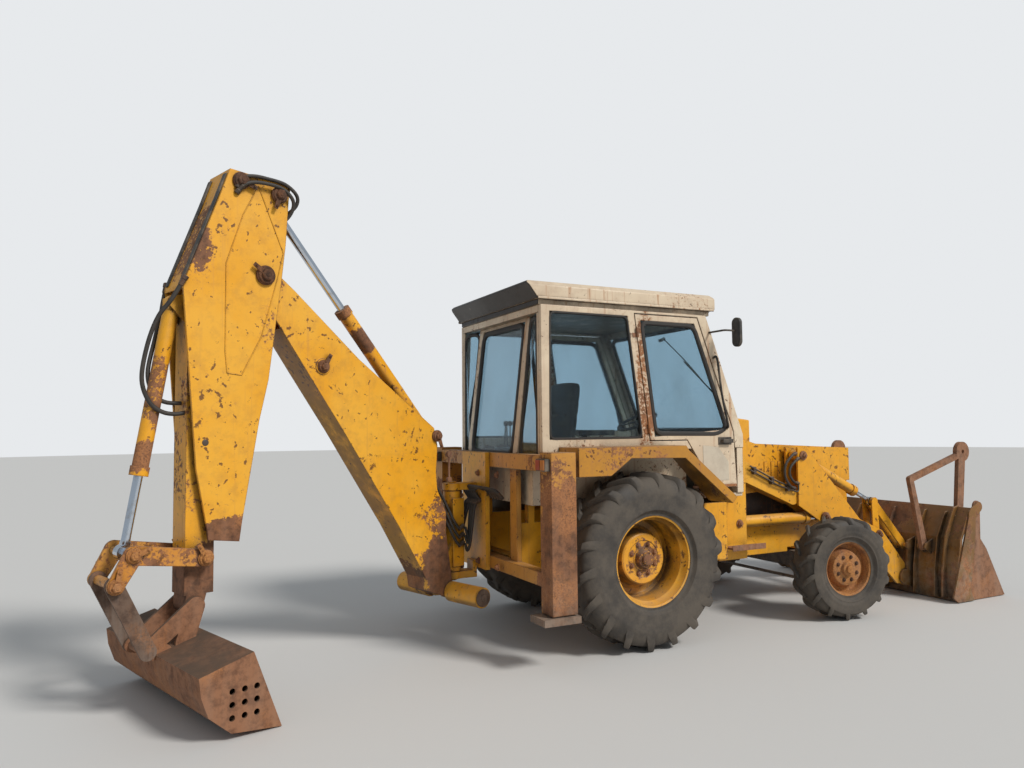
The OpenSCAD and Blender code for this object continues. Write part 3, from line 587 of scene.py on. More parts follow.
rim_yellow = paint("rim_yellow_paint", YELLOW, YELLOW_FADED, 0.45, 0.8, 0.5, 1.0, 0.35, [
    (at(0, -1.02, 0.705), (0.26, 0.16, 0.26), 0.85), (at(0, 1.02, 0.705), (0.26, 0.16, 0.26), 0.85)])
cream = paint("cream_paint", CREAM, CREAM_FADED, 0.55, 0.9, 0.8, 0.7, 0.2, [
    (at(0.13, -0.80, 2.05), (0.10, 0.10, 0.75), 0.7), (at(0.13, 0.80, 2.05), (0.10, 0.10, 0.75), 0.7),
    (at(-0.30, 0, 1.57), (0.75, 0.95, 0.09), 1.1), (at(0.75, 0, 1.22), (0.45, 0.95, 0.16), 1.0)], 0.7)
bare_rust = rusty("bare_rust", 0.6, 0.5)
pin_rust = rusty("pin_rust", 0.2, 0.15, Dark=(0.030, 0.016, 0.010), Middle=(0.105, 0.046, 0.024),
                 Bright=(0.240, 0.100, 0.040))
brown_rust = rusty("brown_rust", 0.15, 0.35, Dark=(0.150, 0.070, 0.036), Middle=(0.300, 0.142, 0.074),
                   Dusty=(0.330, 0.205, 0.140))
orange_rust = rusty("orange_rust", 1.0, 0.25, Dark=(0.120, 0.048, 0.018), Middle=(0.300, 0.112, 0.036),
                    Bright=(0.460, 0.200, 0.055))
leg_steel = rusty("leg_steel", 0.1, 0.4, Dark=(0.120, 0.085, 0.062), Middle=(0.230, 0.160, 0.115),
                  Dusty=(0.300, 0.240, 0.190))
grey_rust = rusty("grey_rust", 0.0, 0.55, Dark=(0.085, 0.050, 0.034), Middle=(0.155, 0.098, 0.068),
                  Dusty=(0.225, 0.175, 0.140))

# %% [markdown]
# ## The bucket
# The bucket is smooth brown all over, but the top is darker where oil and clay have dried on it. The
# direction that the surface faces tells top from side.

# %% Bucket rust
OILY_BROWN = (0.088, 0.058, 0.038, 1)


def make_bucket_rust():
    material, g, shader = new_material("bucket_rust")
    effect = g.use(rust_group, Bloom=0.1, Film=0.25, Dark=(0.150, 0.066, 0.034, 1),
                   Middle=(0.290, 0.132, 0.066, 1), Dusty=(0.300, 0.180, 0.115, 1))
    wire(g, shader, effect, BUCKET_RELIEF)
    cloud = g.ramp(g.noise(g.place(), 4.0, 6.0, 0.65), 0.30, 0.62)
    oily = g.times(g.ramp(g.facing("Z"), 0.15, 0.60), g.blend(cloud, 0.45, 0.92))
    g.plug(g.mix(oily, effect.outputs["Color"], OILY_BROWN), shader.inputs["Base Color"])
    return material


bucket_rust = make_bucket_rust()

# %% [markdown]
# ## Roof
# The roof is the same cream, but its rear fascia is painted shade: dark grey-brown with a few pale
# islands. The surface's own direction picks out that face, so no second object is needed.

# %% Roof paint
FASCIA_SHADE_BROWN = (0.034, 0.026, 0.020, 1)


def make_roof():
    material, g, shader = new_material("roof_paint")
    effect = g.use(paint_group, Paint=CREAM, Faded=CREAM_FADED, Chips=0.5, Edge_Wear=1.1,
                   Streaks=1.0, Grime=0.9, Dust=0.3, Knocks=0.5)
    wire(g, shader, effect, PAINT_RELIEF)
    # Painted shade: faces turned to the rear are made dark grey-brown, save for a few pale islands.
    rear = g.ramp(g.facing("X"), -0.35, -0.60)
    islands = g.ramp(g.noise(g.stretch(g.place(), (1, 1, 1.6)), 6.5, 6.0, 0.7), 0.66, 0.70)
    shaded_fascia = g.times(rear, g.minus(1.0, islands))
    g.plug(g.mix(shaded_fascia, effect.outputs["Color"], FASCIA_SHADE_BROWN), shader.inputs["Base Color"])
    return material


roof_cream = make_roof()

# %% [markdown]
# ## Oily iron, chrome, rubber, plastic and glass
# The dark castings are old paint of another colour. Chrome rods are bright and lightly smeared. Rubber is
# dark grey under dry dust, more of it on the tread. Glass is clear, a little blue, with a dirty film.

# %% Dark iron, chrome, rubber, plastic, glass
IRON = (0.050, 0.042, 0.036, 1)
IRON_FADED = (0.085, 0.062, 0.045, 1)
RUBBER_DARK = (0.024, 0.021, 0.019, 1)
RUBBER_DUSTY = (0.125, 0.103, 0.080, 1)
CHROME_CLEAN = (0.66, 0.72, 0.80, 1)
CHROME_SMEARED = (0.34, 0.30, 0.26, 1)
dark_iron = paint("oily_iron", IRON, IRON_FADED, 0.5, 0.7, 0.3, 0.9, 0.5)


def make_chrome():
    material, g, shader = new_material("chrome_rod")
    smear = g.ramp(g.noise(g.place(), 9.0, 6.0, 0.7), 0.48, 0.78)
    g.plug(g.mix(smear, CHROME_CLEAN, CHROME_SMEARED), shader.inputs["Base Color"])
    g.plug(g.blend(smear, 0.16, 0.42), shader.inputs["Roughness"])
    shader.inputs["Metallic"].default_value = 1.0
    return material


def make_rubber(name, dust, scale):
    material, g, shader = new_material(name)
    place = g.place()
    broad = g.ramp(g.noise(place, scale, 7.0, 0.7), 0.34, 0.62)
    fine = g.noise(place, scale * 14, 6.0, 0.7)
    film = g.times(g.plus(g.times(broad, 0.7), g.times(fine, 0.5)), dust)
    g.plug(g.mix(film, RUBBER_DARK, RUBBER_DUSTY), shader.inputs["Base Color"])
    g.plug(g.blend(film, 0.55, 0.92), shader.inputs["Roughness"])
    g.bumps(fine, 0.5, 0.002, shader)
    return material


def make_plastic(name, colour, dusty=0.5):
    material, g, shader = new_material(name)
    place = g.place()
    dust = g.ramp(g.noise(place, 6.0, 7.0, 0.7), 0.4, 0.7)
    g.plug(g.mix(g.times(dust, dusty), colour, DUST_TAN), shader.inputs["Base Color"])
    g.plug(g.blend(dust, 0.45, 0.8), shader.inputs["Roughness"])
    g.bumps(g.noise(place, 260.0, 3.0), 0.3, 0.001, shader)
    return material


def make_glass(name, clean, dirty):
    material, g, shader = new_material(name)
    film = g.ramp(g.noise(g.stretch(g.place(), (1, 1, 0.4)), 1.6, 5.0, 0.6), 0.30, 0.80)
    g.plug(g.mix(film, clean, dirty), shader.inputs["Base Color"])
    g.plug(g.blend(film, 0.02, 0.12), shader.inputs["Roughness"])
    shader.inputs["Transmission Weight"].default_value = 1.0
    shader.inputs["IOR"].default_value = 1.35
    return material


chrome = make_chrome()
tyre_rubber = make_rubber("dusty_tyre", 0.85, 3.0)
hose_rubber = make_rubber("hose_rubber", 0.30, 8.0)
seal_rubber = make_rubber("seal_rubber", 0.12, 5.0)
black_plastic = make_plastic("black_plastic", (0.022, 0.021, 0.020, 1))
seat_cloth = make_plastic("seat_cloth", (0.030, 0.028, 0.027, 1), 0.25)
pale_plate = make_plastic("pale_plate", (0.62, 0.54, 0.42, 1), 0.35)
red_lens = make_plastic("red_lens", (0.33, 0.030, 0.016, 1), 0.25)
amber_lens = make_plastic("amber_lens", (0.50, 0.150, 0.012, 1), 0.25)
clear_lens = make_plastic("clear_lens", (0.50, 0.52, 0.52, 1), 0.25)
mirror_face = make_plastic("mirror_face", (0.035, 0.040, 0.045, 1), 0.15)
glass = make_glass("window_glass", (0.52, 0.66, 0.74, 1), (0.44, 0.55, 0.61, 1))
print("materials:", len(bpy.data.materials))

# %% [markdown]
# ## Shapes by hand
# A machine is mostly turned, swept and bent stock, so three mesh builders cover nearly every small piece:
# a lathe for what is round, a tube for what is bent, and a strip for rubber round a window. Curves with
# bevels could make the tubes too, but plain rings of points keep full control of where each piece starts
# and stops.

# %% Paths and shapes


def angles(count):
    """So many even steps round a circle."""
    return [math.tau * k / count for k in range(count)]


def smooth_path(points, steps=8):
    """A curve through all the points, cut into short straight stretches."""
    points = [Vector(p) for p in points]
    ends = [points[0] * 2 - points[1], *points, points[-1] * 2 - points[-2]]
    path = []
    for p0, p1, p2, p3 in zip(ends, ends[1:], ends[2:], ends[3:]):
        for t in (k / steps for k in range(steps)):
            path.append(0.5 * (2 * p1 + (p2 - p0) * t + (2 * p0 - 5 * p1 + 4 * p2 - p3) * t ** 2
                               + (3 * p1 - p0 - 3 * p2 + p3) * t ** 3))
    return path + [points[-1]]


def rounded_loop(corners, radius, steps=5):
    """A closed outline with round corners."""
    path = []
    for i, corner in enumerate(corners):
        back, ahead = corners[i - 1] - corner, corners[(i + 1) % len(corners)] - corner
        cut = min(radius, back.length * 0.45, ahead.length * 0.45)
        start, end = corner + back.normalized() * cut, corner + ahead.normalized() * cut
        for t in (k / steps for k in range(steps + 1)):
            path.append(start.lerp(corner, t).lerp(corner.lerp(end, t), t))
    return path


def aim(point, direction):
    """A place whose Z axis runs along the direction."""
    return Matrix.Translation(point) @ Vector(direction).to_track_quat("Z", "Y").to_matrix().to_4x4()


class Shape:
    """Gathers the joined meshes of one piece."""

    def __init__(self):
        self.points, self.faces = [], []

    def add(self, points, faces):
        first = len(self.points)
        self.points += [tuple(p) for p in points]
        self.faces += [[first + i for i in face] for face in faces]
        return self

    def rings(self, rings, closed=False):
        """Skins rings that have as many points each, and caps the two ends."""
        size, rows = len(rings[0]), len(rings)
        faces = []
        for row in range(rows if closed else rows - 1):
            for k in range(size):
                here, there = row * size, (row + 1) % rows * size
                faces.append((here + k, here + (k + 1) % size, there + (k + 1) % size, there + k))
        if not closed:
            faces += [tuple(reversed(range(size))), tuple((rows - 1) * size + k for k in range(size))]
        return self.add([p for ring in rings for p in ring], faces)

    def tube(self, path, radius, sides=10, ripple=0.0):
        """A round bar or hose along a path; a ripple thins every other ring."""
        rings, side = [], None
        for i, point in enumerate(path):
            ahead = (path[min(i + 1, len(path) - 1)] - path[max(i - 1, 0)]).normalized()
            side = ahead.orthogonal() if side is None else side
            side = (side - ahead * side.dot(ahead)).normalized()
            up = ahead.cross(side)
            size = radius * (1 - ripple * (1 - i % 2))
            rings.append([point + size * (side * math.cos(a) + up * math.sin(a)) for a in angles(sides)])
        return self.rings(rings)

    def strip(self, path, normal, width, height):
        """A closed rubber strip round a flat outline, standing up along the normal."""
        section = [(-0.5, 0.0), (-0.5, 0.55), (-0.25, 1.0), (0.25, 1.0), (0.5, 0.55), (0.5, 0.0)]
        rings = []
        for i, point in enumerate(path):
            across = (path[(i + 1) % len(path)] - path[i - 1]).normalized().cross(normal)
            rings.append([point + across * a * width + normal * b * height for a, b in section])
        return self.rings(rings, closed=True)

    def lathe(self, profile, place, sides=32, closed=False):
        """Turns [along, radius] points about the place's Z axis; a closed profile makes a ring."""
        return self.rings([[place @ Vector((r * math.cos(a), r * math.sin(a), along)) for a in angles(sides)]
                           for along, r in profile], closed)

    def box(self, place, size):
        """A box by its middle and its three sizes, in the place's own axes."""
        square = ((-0.5, -0.5), (0.5, -0.5), (0.5, 0.5), (-0.5, 0.5))
        return self.rings([[place @ Vector((x * size[0], y * size[1], z * size[2])) for x, y in square]
                           for z in (-0.5, 0.5)])

    def plate(self, outline, thick):
        """A flat plate: its outline as points, and its thickness as a vector."""
        return self.rings([list(outline), [p + thick for p in outline]])

    def bolt(self, point, direction, size):
        """A washer, a chamfered hexagon and the end of the thread; size is the hexagon's radius."""
        place = aim(point, direction)
        self.lathe([(0, size * 1.35), (size * 0.18, size * 1.35)], place, 18)
        self.lathe([(size * 0.18, size), (size * 0.85, size), (size, size * 0.82)], place, 6)
        return self.lathe([(size, size * 0.5), (size * 1.3, size * 0.45)], place, 10)

    def stud_ring(self, place, circle, height, count, size, first=0.5):
        """Bolts in a circle about the place's Z axis."""
        out = place.to_3x3() @ Vector((0, 0, 1))
        for i in range(count):
            a = math.tau * (i + first) / count
            self.bolt(place @ Vector((circle * math.cos(a), circle * math.sin(a), height)), out, size)
        return self

    def build(self, name):
        """A loose object of the gathered meshes, every face turned outwards."""
        mesh = bpy.data.meshes.new(name)
        mesh.from_pydata(self.points, [], self.faces)
        work = bmesh.new()
        work.from_mesh(mesh)
        bmesh.ops.recalc_face_normals(work, faces=work.faces)
        work.to_mesh(mesh)
        work.free()
        made = bpy.data.objects.new(name, mesh)
        bpy.context.scene.collection.objects.link(made)
        return made

    def make(self, name, material, body, slot, bevel=0.0, sharp=38):
        """Turns the gathered meshes into one piece that rides on its body; given anything else, it stays
        loose where it was built.
        """
        made = self.build(name)
        made.data.shade_smooth()
        made.data.set_sharp_from_angle(angle=math.radians(sharp))
        made.data.materials.append(material)
        if bevel:
            edge = made.modifiers.new("edge", "BEVEL")
            edge.width, edge.segments, edge.limit_method = bevel, 2, "ANGLE"
        if isinstance(body, str):
            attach(made, body)
        else:
            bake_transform(made)
        return made


# %% [markdown]
# ## Tyres
# The drawing's tyres are plain turned rings of the right size and width. A real tractor tyre is rounder,
# its sidewall bulges and carries fine rings, and each lug is a bar that runs slantwise from the middle,
# widens, and rolls over the shoulder. One function builds both sizes from the drawing's own numbers.

# %% Tyres
LUG_SLANT = math.tan(math.radians(38))
STEER, KINGPIN_Y, WHEELBASE = math.radians(10), 0.790, 2.190
REAR_Y, FRONT_Y = 0.870, 0.985
REAR_TYRE = {"radius": 0.705, "width": 0.425, "flange": 0.381, "lug": 0.038, "lug_width": 0.056, "lugs": 18}
FRONT_TYRE = {"radius": 0.465, "width": 0.310, "flange": 0.262, "lug": 0.028, "lug_width": 0.040, "lugs": 14}
SIDES = ((1, "left"), (-1, "right"))
BEAD, LIP, SHOULDER = 0.019, 0.035, 0.045
chance = random.Random(8)


def wheel_place(x, y, z, turn):
    """The middle of a tyre, its outer face towards the place's +Y."""
    side = 1 if y > 0 else -1
    knuckle = KINGPIN_Y if turn else abs(y)
    place = Matrix.Translation(at(x, side * knuckle, z)) @ Matrix.Rotation(-turn, 4, "Z")
    return place @ Matrix.Translation((0, side * (abs(y) - knuckle), 0)) @ Matrix.Scale(side, 4, (0, 1, 0))


WHEELS = {
    "rear_left": wheel_place(0, REAR_Y, REAR_TYRE["radius"], 0),
    "rear_right": wheel_place(0, -REAR_Y, REAR_TYRE["radius"], 0),
    "front_left": wheel_place(WHEELBASE, FRONT_Y, FRONT_TYRE["radius"], STEER),
    "front_right": wheel_place(WHEELBASE, -FRONT_Y, FRONT_TYRE["radius"], STEER),
}
AXLE_UP = Matrix.Rotation(math.radians(-90), 4, "X")


def carcass(radius, width, flange, lug):
    """Half the tyre's outline from the bead to the tread's middle, as [y, radius]."""
    body, half = radius - lug, width / 2
    middle = (flange + body) / 2 + 0.02
    wall = [(half - LIP, flange - BEAD), (half - LIP + 0.002, flange + 0.004), (half - 0.014, flange + 0.022),
            (half - 0.006, flange + 0.045), (half - 0.001, middle - 0.025), (half, middle),
            (half - 0.004, middle + 0.030), (half - 0.018, body - 0.050), (half - SHOULDER, body - 0.012),
            (half - 0.085, body), (0.0, body + 0.003)]
    curve = smooth_path([(y, r, 0) for y, r in wall], 3)
    rings = (flange + 0.030, middle - 0.045, middle - 0.035)
    return [(p.x + (0.003 if any(abs(p.y - ring) < 0.006 for ring in rings) else 0), p.y) for p in curve]


def lug_rings(radius, width, flange, lug, lug_width):
    """Sections of one lug from its nose near the middle to its tail on the sidewall."""
    body, half = radius - lug, width / 2
    middle = (flange + body) / 2 + 0.02
    nose, tail = 0.008, half - 0.003
    wear = chance.uniform(0.0, 0.0025)
    stations = [(nose, body - 0.008, radius - 0.012), (nose + 0.010, body - 0.012, radius - 0.001)]
    stations += [(nose + (half - SHOULDER - nose) * t, body - 0.014, radius) for t in (0.3, 0.6, 0.9)]
    stations += [(half - 0.036, body - 0.018, radius - 0.006), (half - 0.018, body - 0.040, radius - 0.026),
                 (half - 0.006, body - 0.062, body - 0.024), (tail, middle + 0.024, middle + 0.030)]
    rings = []
    for y, low, high in stations:
        t = (y - nose) / (tail - nose)
        x = (y - (nose + tail) / 2) * LUG_SLANT * (1.08 - 0.16 * t)
        wide = lug_width / 2 * (0.86 + 0.22 * t)
        top = high - wear
        row = [(x - wide - 0.007, low), (x - wide, top - 0.007), (x - wide + 0.006, top),
               (x + wide - 0.006, top), (x + wide, top - 0.007), (x + wide + 0.007, low)]
        rings.append([Vector((px, y, math.sqrt(r * r - px * px))) for px, r in row])
    return rings


def make_tyre(name, radius, width, flange, lug, lug_width, lugs):
    place, shape = WHEELS[name], Shape()
    half = carcass(radius, width, flange, lug)
    outline = [(-y, r) for y, r in half] + [(y, r) for y, r in reversed(half[:-1])]
    shape.lathe(outline, place @ AXLE_UP, 96, closed=True)
    for mirrored in (0, 1):
        for i in range(lugs):
            turn = Matrix.Rotation((i + mirrored / 2) * math.tau / lugs, 4, "Y")
            flip = Matrix.Scale(-1, 4, (0, 1, 0)) if mirrored else Matrix.Identity(4)
            shape.rings([[place @ flip @ turn @ p for p in ring]
                         for ring in lug_rings(radius, width, flange, lug, lug_width)])
    made = shape.make("tread_" + name, tyre_rubber, "wheel_" + name, "tyre_rubber", sharp=30)
    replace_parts(made, "tyre_" + name)


for _, side in SIDES:
    make_tyre("rear_" + side, **REAR_TYRE)
    make_tyre("front_" + side, **FRONT_TYRE)
treads = [o.data for o in bpy.data.objects if o.name.startswith("tread_")]
print("tyre triangles:", sum(len(mesh.polygons) * 2 for mesh in treads))

# %% [markdown]
# ## Rims
# A tractor's rear rim is a deep drum. The disc stands out near the tyre's outer face, and a dark well
# lies between it and the barrel. A front rim is shallower: its disc nearly fills the mouth, with a domed
# hub, all one rust. Each outline is turned once; nuts, and a valve in the rear rim's well, are added.

# %% Rims
HUB_FACE, FRONT_FACE, NUTS = 0.028, 0.098, 8
REAR_OUTLINE = [
    (-0.1775, 0.381), (-0.167, 0.378), (-0.167, 0.357), (0.167, 0.357), (0.167, 0.379), (0.1755, 0.381),
    (0.1775, 0.377), (0.1760, 0.371), (0.168, 0.347), (0.125, 0.340), (0.100, 0.322), (-0.020, 0.318),
    (-0.085, 0.322), (-0.112, 0.305), (-0.116, 0.262), (-0.100, 0.232), (0.002, 0.212), (0.020, 0.206),
    (HUB_FACE, 0.194), (HUB_FACE, 0.150), (HUB_FACE - 0.004, 0.146), (HUB_FACE - 0.004, 0.098),
    (HUB_FACE, 0.094), (HUB_FACE, 0.080), (HUB_FACE + 0.040, 0.072), (HUB_FACE + 0.046, 0.064),
    (HUB_FACE + 0.046, 0.046), (HUB_FACE + 0.064, 0.044), (HUB_FACE + 0.067, 0.036),
    (HUB_FACE + 0.067, 0.001), (HUB_FACE - 0.016, 0.001), (HUB_FACE - 0.016, 0.190), (-0.110, 0.218),
    (-0.130, 0.262), (-0.128, 0.315), (-0.1775, 0.343)]
FRONT_OUTLINE = [
    (-0.120, 0.262), (-0.110, 0.259), (-0.110, 0.238), (0.108, 0.238), (0.112, 0.260), (0.119, 0.262),
    (0.120, 0.258), (0.118, 0.248), (0.108, 0.228), (0.070, 0.220), (0.034, 0.218), (0.028, 0.208),
    (0.030, 0.178), (0.078, 0.158), (FRONT_FACE - 0.004, 0.152), (FRONT_FACE, 0.144), (FRONT_FACE, 0.068),
    (FRONT_FACE + 0.026, 0.062), (FRONT_FACE + 0.030, 0.056), (FRONT_FACE + 0.030, 0.040),
    (FRONT_FACE + 0.050, 0.036), (FRONT_FACE + 0.052, 0.001), (0.082, 0.001), (0.082, 0.140),
    (0.014, 0.165), (0.014, 0.205), (-0.110, 0.222)]
VALVE = Matrix.Translation((0.285, 0.0, -0.121))

for _, side in SIDES:
    place = WHEELS["rear_" + side] @ AXLE_UP
    rim = Shape().lathe(REAR_OUTLINE, place, 96, closed=True)
    rim.lathe([(0, 0.008), (0.02, 0.006), (0.06, 0.005), (0.062, 0.002)], place @ VALVE, 10)
    rim = rim.make("dish_rear_" + side, rim_yellow, "wheel_rear_" + side, "yellow_paint", sharp=32)
    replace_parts(rim, "rim_rear_" + side)
    nuts = Shape().stud_ring(place, 0.122, HUB_FACE - 0.004, NUTS, 0.017)
    nuts.stud_ring(place, 0.058, HUB_FACE + 0.044, 6, 0.007, 0)
    nuts.make("wheel_nuts_rear_" + side, bare_rust, "wheel_rear_" + side, "rusted_steel", sharp=30)

    place = WHEELS["front_" + side] @ AXLE_UP
    rim = Shape().lathe(FRONT_OUTLINE, place, 80, closed=True)
    rim = rim.make("dish_front_" + side, orange_rust, "wheel_front_" + side, "rusted_steel", sharp=32)
    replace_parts(rim, "rim_front_" + side)
    nuts = Shape().stud_ring(place, 0.108, FRONT_FACE - 0.001, NUTS, 0.014)
    nuts.make("wheel_nuts_front_" + side, pin_rust, "wheel_front_" + side, "rusted_steel", sharp=30)
print("rims done")

# %% [markdown]
# ## Window rubber
# Each pane sits in a black rubber strip with round corners. Without the strips a cab looks like a
# cardboard box. One strip function follows any flat outline, so the same call seals the sides, the doors,
# the rear and its quarter panes, and the windscreen. A door's strip rides on the door.

# %% Window rubber
CAB_SIDE, PANE_FACE = 0.800, 0.785
SIDE_WINDOW = [(-0.790, 2.700), (-0.800, 1.680), (0.090, 1.680), (-0.045, 2.700)]
DOOR_WINDOW = [(0.085, 2.670), (0.215, 1.700), (0.905, 1.690), (1.020, 1.745), (0.660, 2.670)]
REAR_FOOT, REAR_TOP = (-0.950, 1.480), (-0.800, 2.740)
SCREEN_FOOT, SCREEN_TOP = (1.190, 1.700), (0.790, 2.750)


def on_slope(low, high, y, z, out=0.0):
    """A point on a sloping flat face given by two [x, z] points; out lifts it along X."""
    return at(low[0] + (high[0] - low[0]) * (z - low[1]) / (high[1] - low[1]) + out, y, z)


def shrink(corners, amount):
    """Pulls an outline's corners towards its middle by a fixed amount."""
    middle = sum(corners, Vector()) / len(corners)
    return [c + (middle - c).normalized() * amount for c in corners]


def seal(name, corners, normal, width, height, radius, body="machine"):
    path = rounded_loop(corners, radius)
    strip = Shape().strip(path, normal.normalized(), width, height)
    strip.make(name, seal_rubber, body, "black_trim")


for sign, side in SIDES:
    out = Vector((0, sign, 0))
    pane = [at(x, sign * PANE_FACE, z) for x, z in SIDE_WINDOW]
    seal("side_seal_" + side, shrink(pane, 0.008), out, 0.022, 0.020, 0.05)
    pane = [at(x, sign * PANE_FACE, z) for x, z in DOOR_WINDOW]
    seal("door_seal_" + side, shrink(pane, 0.020), out, 0.042, 0.022, 0.07, "door_" + side)
    quarter = [at(x, sign * y, z) for x, y, z in ((-0.856, 0.722, 1.505), (-0.914, 0.505, 1.505),
                                                  (-0.792, 0.505, 2.680), (-0.852, 0.722, 2.680))]
    seal("quarter_seal_" + side, shrink(quarter, 0.022), Vector((-1, 0.3 * sign, 0.1)), 0.040, 0.018, 0.09)

rear = [on_slope(REAR_FOOT, REAR_TOP, y, z, 0.018)
        for y, z in ((-0.42, 1.545), (0.42, 1.545), (0.42, 2.655), (-0.42, 2.655))]
seal("rear_seal", shrink(rear, 0.022), Vector((-1.26, 0, 0.15)), 0.046, 0.026, 0.10)
screen = [on_slope(SCREEN_FOOT, SCREEN_TOP, y, z, -0.018)
          for y, z in ((-0.715, 1.725), (0.715, 1.725), (0.715, 2.685), (-0.715, 2.685))]
seal("screen_seal", shrink(screen, 0.020), Vector((1.05, 0, 0.40)), 0.042, 0.024, 0.09)

# %% [markdown]
# ## Small things on the cab
# A grab rail, the plate behind the handle, a blank plate on the door, the wiper, mirror faces and lamp
# lenses. They are tiny, and they are what tells the eye how big the machine is.

# %% Cab trim
RAIL_Y = 0.836
MIRROR_Y, MIRROR_Z, HEAD_HALF, FACE_HALF = 1.005, 2.5875, 0.0775, 0.078
LAMP_Y, LAMP_Z = 0.600, 2.860
BLANK_PLATE = ((0.720, 1.615), (0.900, 1.600), (1.020, 1.460), (1.020, 1.290), (0.720, 1.290))
DOOR_LIP = ((0.600, 1.240), (1.095, 1.240), (1.095, 1.262), (0.600, 1.262))
FORWARD = Vector((1, 0, 0))


def oval(sign, radius, half):
    """The upright oval of a mirror, as points: two half circles, half apart from the middle."""
    points = []
    for a in angles(32):
        y = sign * (MIRROR_Y + radius * math.cos(a))
        points.append(at(0.945, y, MIRROR_Z + (half if math.sin(a) > 0 else -half) + radius * math.sin(a)))
    return points


def block(shape, low, high):
    """A box by two corners in workshop coordinates."""
    middle = [(a + b) / 2 for a, b in zip(low, high)]
    return shape.box(Matrix.Translation(at(*middle)), [abs(b - a) for a, b in zip(low, high)])


for sign, side in SIDES:
    door = "door_" + side
    out = Vector((0, sign, 0))
    rail = Shape()
    rail_line = ((0.865, 0.802, 2.380), (0.880, RAIL_Y, 2.360), (0.925, RAIL_Y, 2.050),
                 (0.985, RAIL_Y, 1.790), (1.003, 0.802, 1.765))
    rail.tube(smooth_path([at(x, sign * y, z) for x, y, z in rail_line]), 0.010)
    rail.make("grab_rail_" + side, black_plastic, door, "black_trim")
    plate = Shape()
    plate.box(Matrix.Translation(at(0.975, sign * 0.802, 1.643)), (0.150, 0.006, 0.066))
    plate.make("handle_plate_" + side, black_plastic, door, "black_trim", 0.002)
    label = [at(x, sign * CAB_SIDE, z) for x, z in BLANK_PLATE]
    label_plate = Shape().plate(shrink(label, 0.01), out * 0.003)
    label_plate.make("blank_plate_" + side, pale_plate, door, "cream_paint")
    lip = Shape().plate([at(x, sign * CAB_SIDE, z) for x, z in DOOR_LIP], out * 0.014)
    lip.make("door_lip_" + side, bare_rust, door, "rusted_steel", 0.003)

    mirror = Shape().plate(oval(sign, 0.043, FACE_HALF), FORWARD * -0.003)
    mirror.make("mirror_face_" + side, mirror_face, "machine", "black_trim")
    lamp = aim(at(0.970, sign * LAMP_Y, LAMP_Z), FORWARD)
    lens = Shape().lathe([(0, 0.055), (0.007, 0.055), (0.010, 0.0484)], lamp)
    lens.make("work_lens_" + side, clear_lens, "machine", "pane_glass", sharp=60)
    for name, y, material in (("tail", 1.045, red_lens), ("turn", 1.115, amber_lens)):
        lens = Shape().box(Matrix.Translation(at(-1.045, sign * y, 1.500)), (0.010, 0.058, 0.074))
        lens.make(name + "_lens_" + side, material, "machine", "pane_glass", 0.003)

WIPER_OUT, BLADE_BACK = 0.030, Vector((-0.008, 0, 0))
wiper = Shape()
pivot = on_slope(SCREEN_FOOT, SCREEN_TOP, -0.10, 2.62, WIPER_OUT)
tip = on_slope(SCREEN_FOOT, SCREEN_TOP, -0.46, 2.20, WIPER_OUT)
wiper.tube(smooth_path([pivot, pivot.lerp(tip, 0.5) + Vector((0.010, 0, 0.004)), tip], 6), 0.005, 8)
blade = (tip - pivot).normalized() * 0.26
wiper.tube([tip - blade + BLADE_BACK, tip + blade * 0.75 + BLADE_BACK], 0.007, 6)
wiper.lathe([(-0.056, 0.016), (0.01, 0.016), (0.014, 0.010)], aim(pivot, (1.05, 0, 0.40)), 16)
wiper.make("wiper", black_plastic, "machine", "black_trim")

# %% [markdown]
# ## Seat
# The driver's seat is foam under black cloth on a plain pedestal: two crowned cushions with a piped edge.
# A rounded box whose corners pull in gives the crown, and three sewn channels are pressed into the back.
# The pieces stand for the drawing's one seat.

# %% Seat
CAB_FLOOR = 1.180
CUSHION_CROWN, CUSHION_CELLS = 0.35, 26


def cushion(name, place, size, channels):
    """A crowned pad: length along X, width along Y, thickness along Z of its place."""
    shape, rings = Shape(), []
    length, width, thick = (s / 2 for s in size)
    for i in range(CUSHION_CELLS + 1):
        u = math.cos(math.pi * i / CUSHION_CELLS)
        end = (1 - abs(u) ** 6) ** (1 / 6)
        ring = []
        for a in angles(40):
            c, s = math.cos(a), math.sin(a)
            across = math.copysign(abs(c) ** 0.45, c)
            up = math.copysign(abs(s) ** 0.62, s)
            swell = (1 + CUSHION_CROWN * (1 - across * across) * (1 - u * u)) / (1 + CUSHION_CROWN)
            groove = sum(0.16 * math.exp(-((u - channel) / 0.035) ** 2) for channel in channels)
            ring.append(place @ Vector((length * u * (1 - 0.03 * across * across),
                                        width * end ** 0.3 * across,
                                        thick * end * up * swell * (1 - groove))))
        rings.append(ring)
    shape.rings(rings[1:-1])
    made = shape.make(name, seat_cloth, "machine", "seat_cloth", sharp=80)
    return made


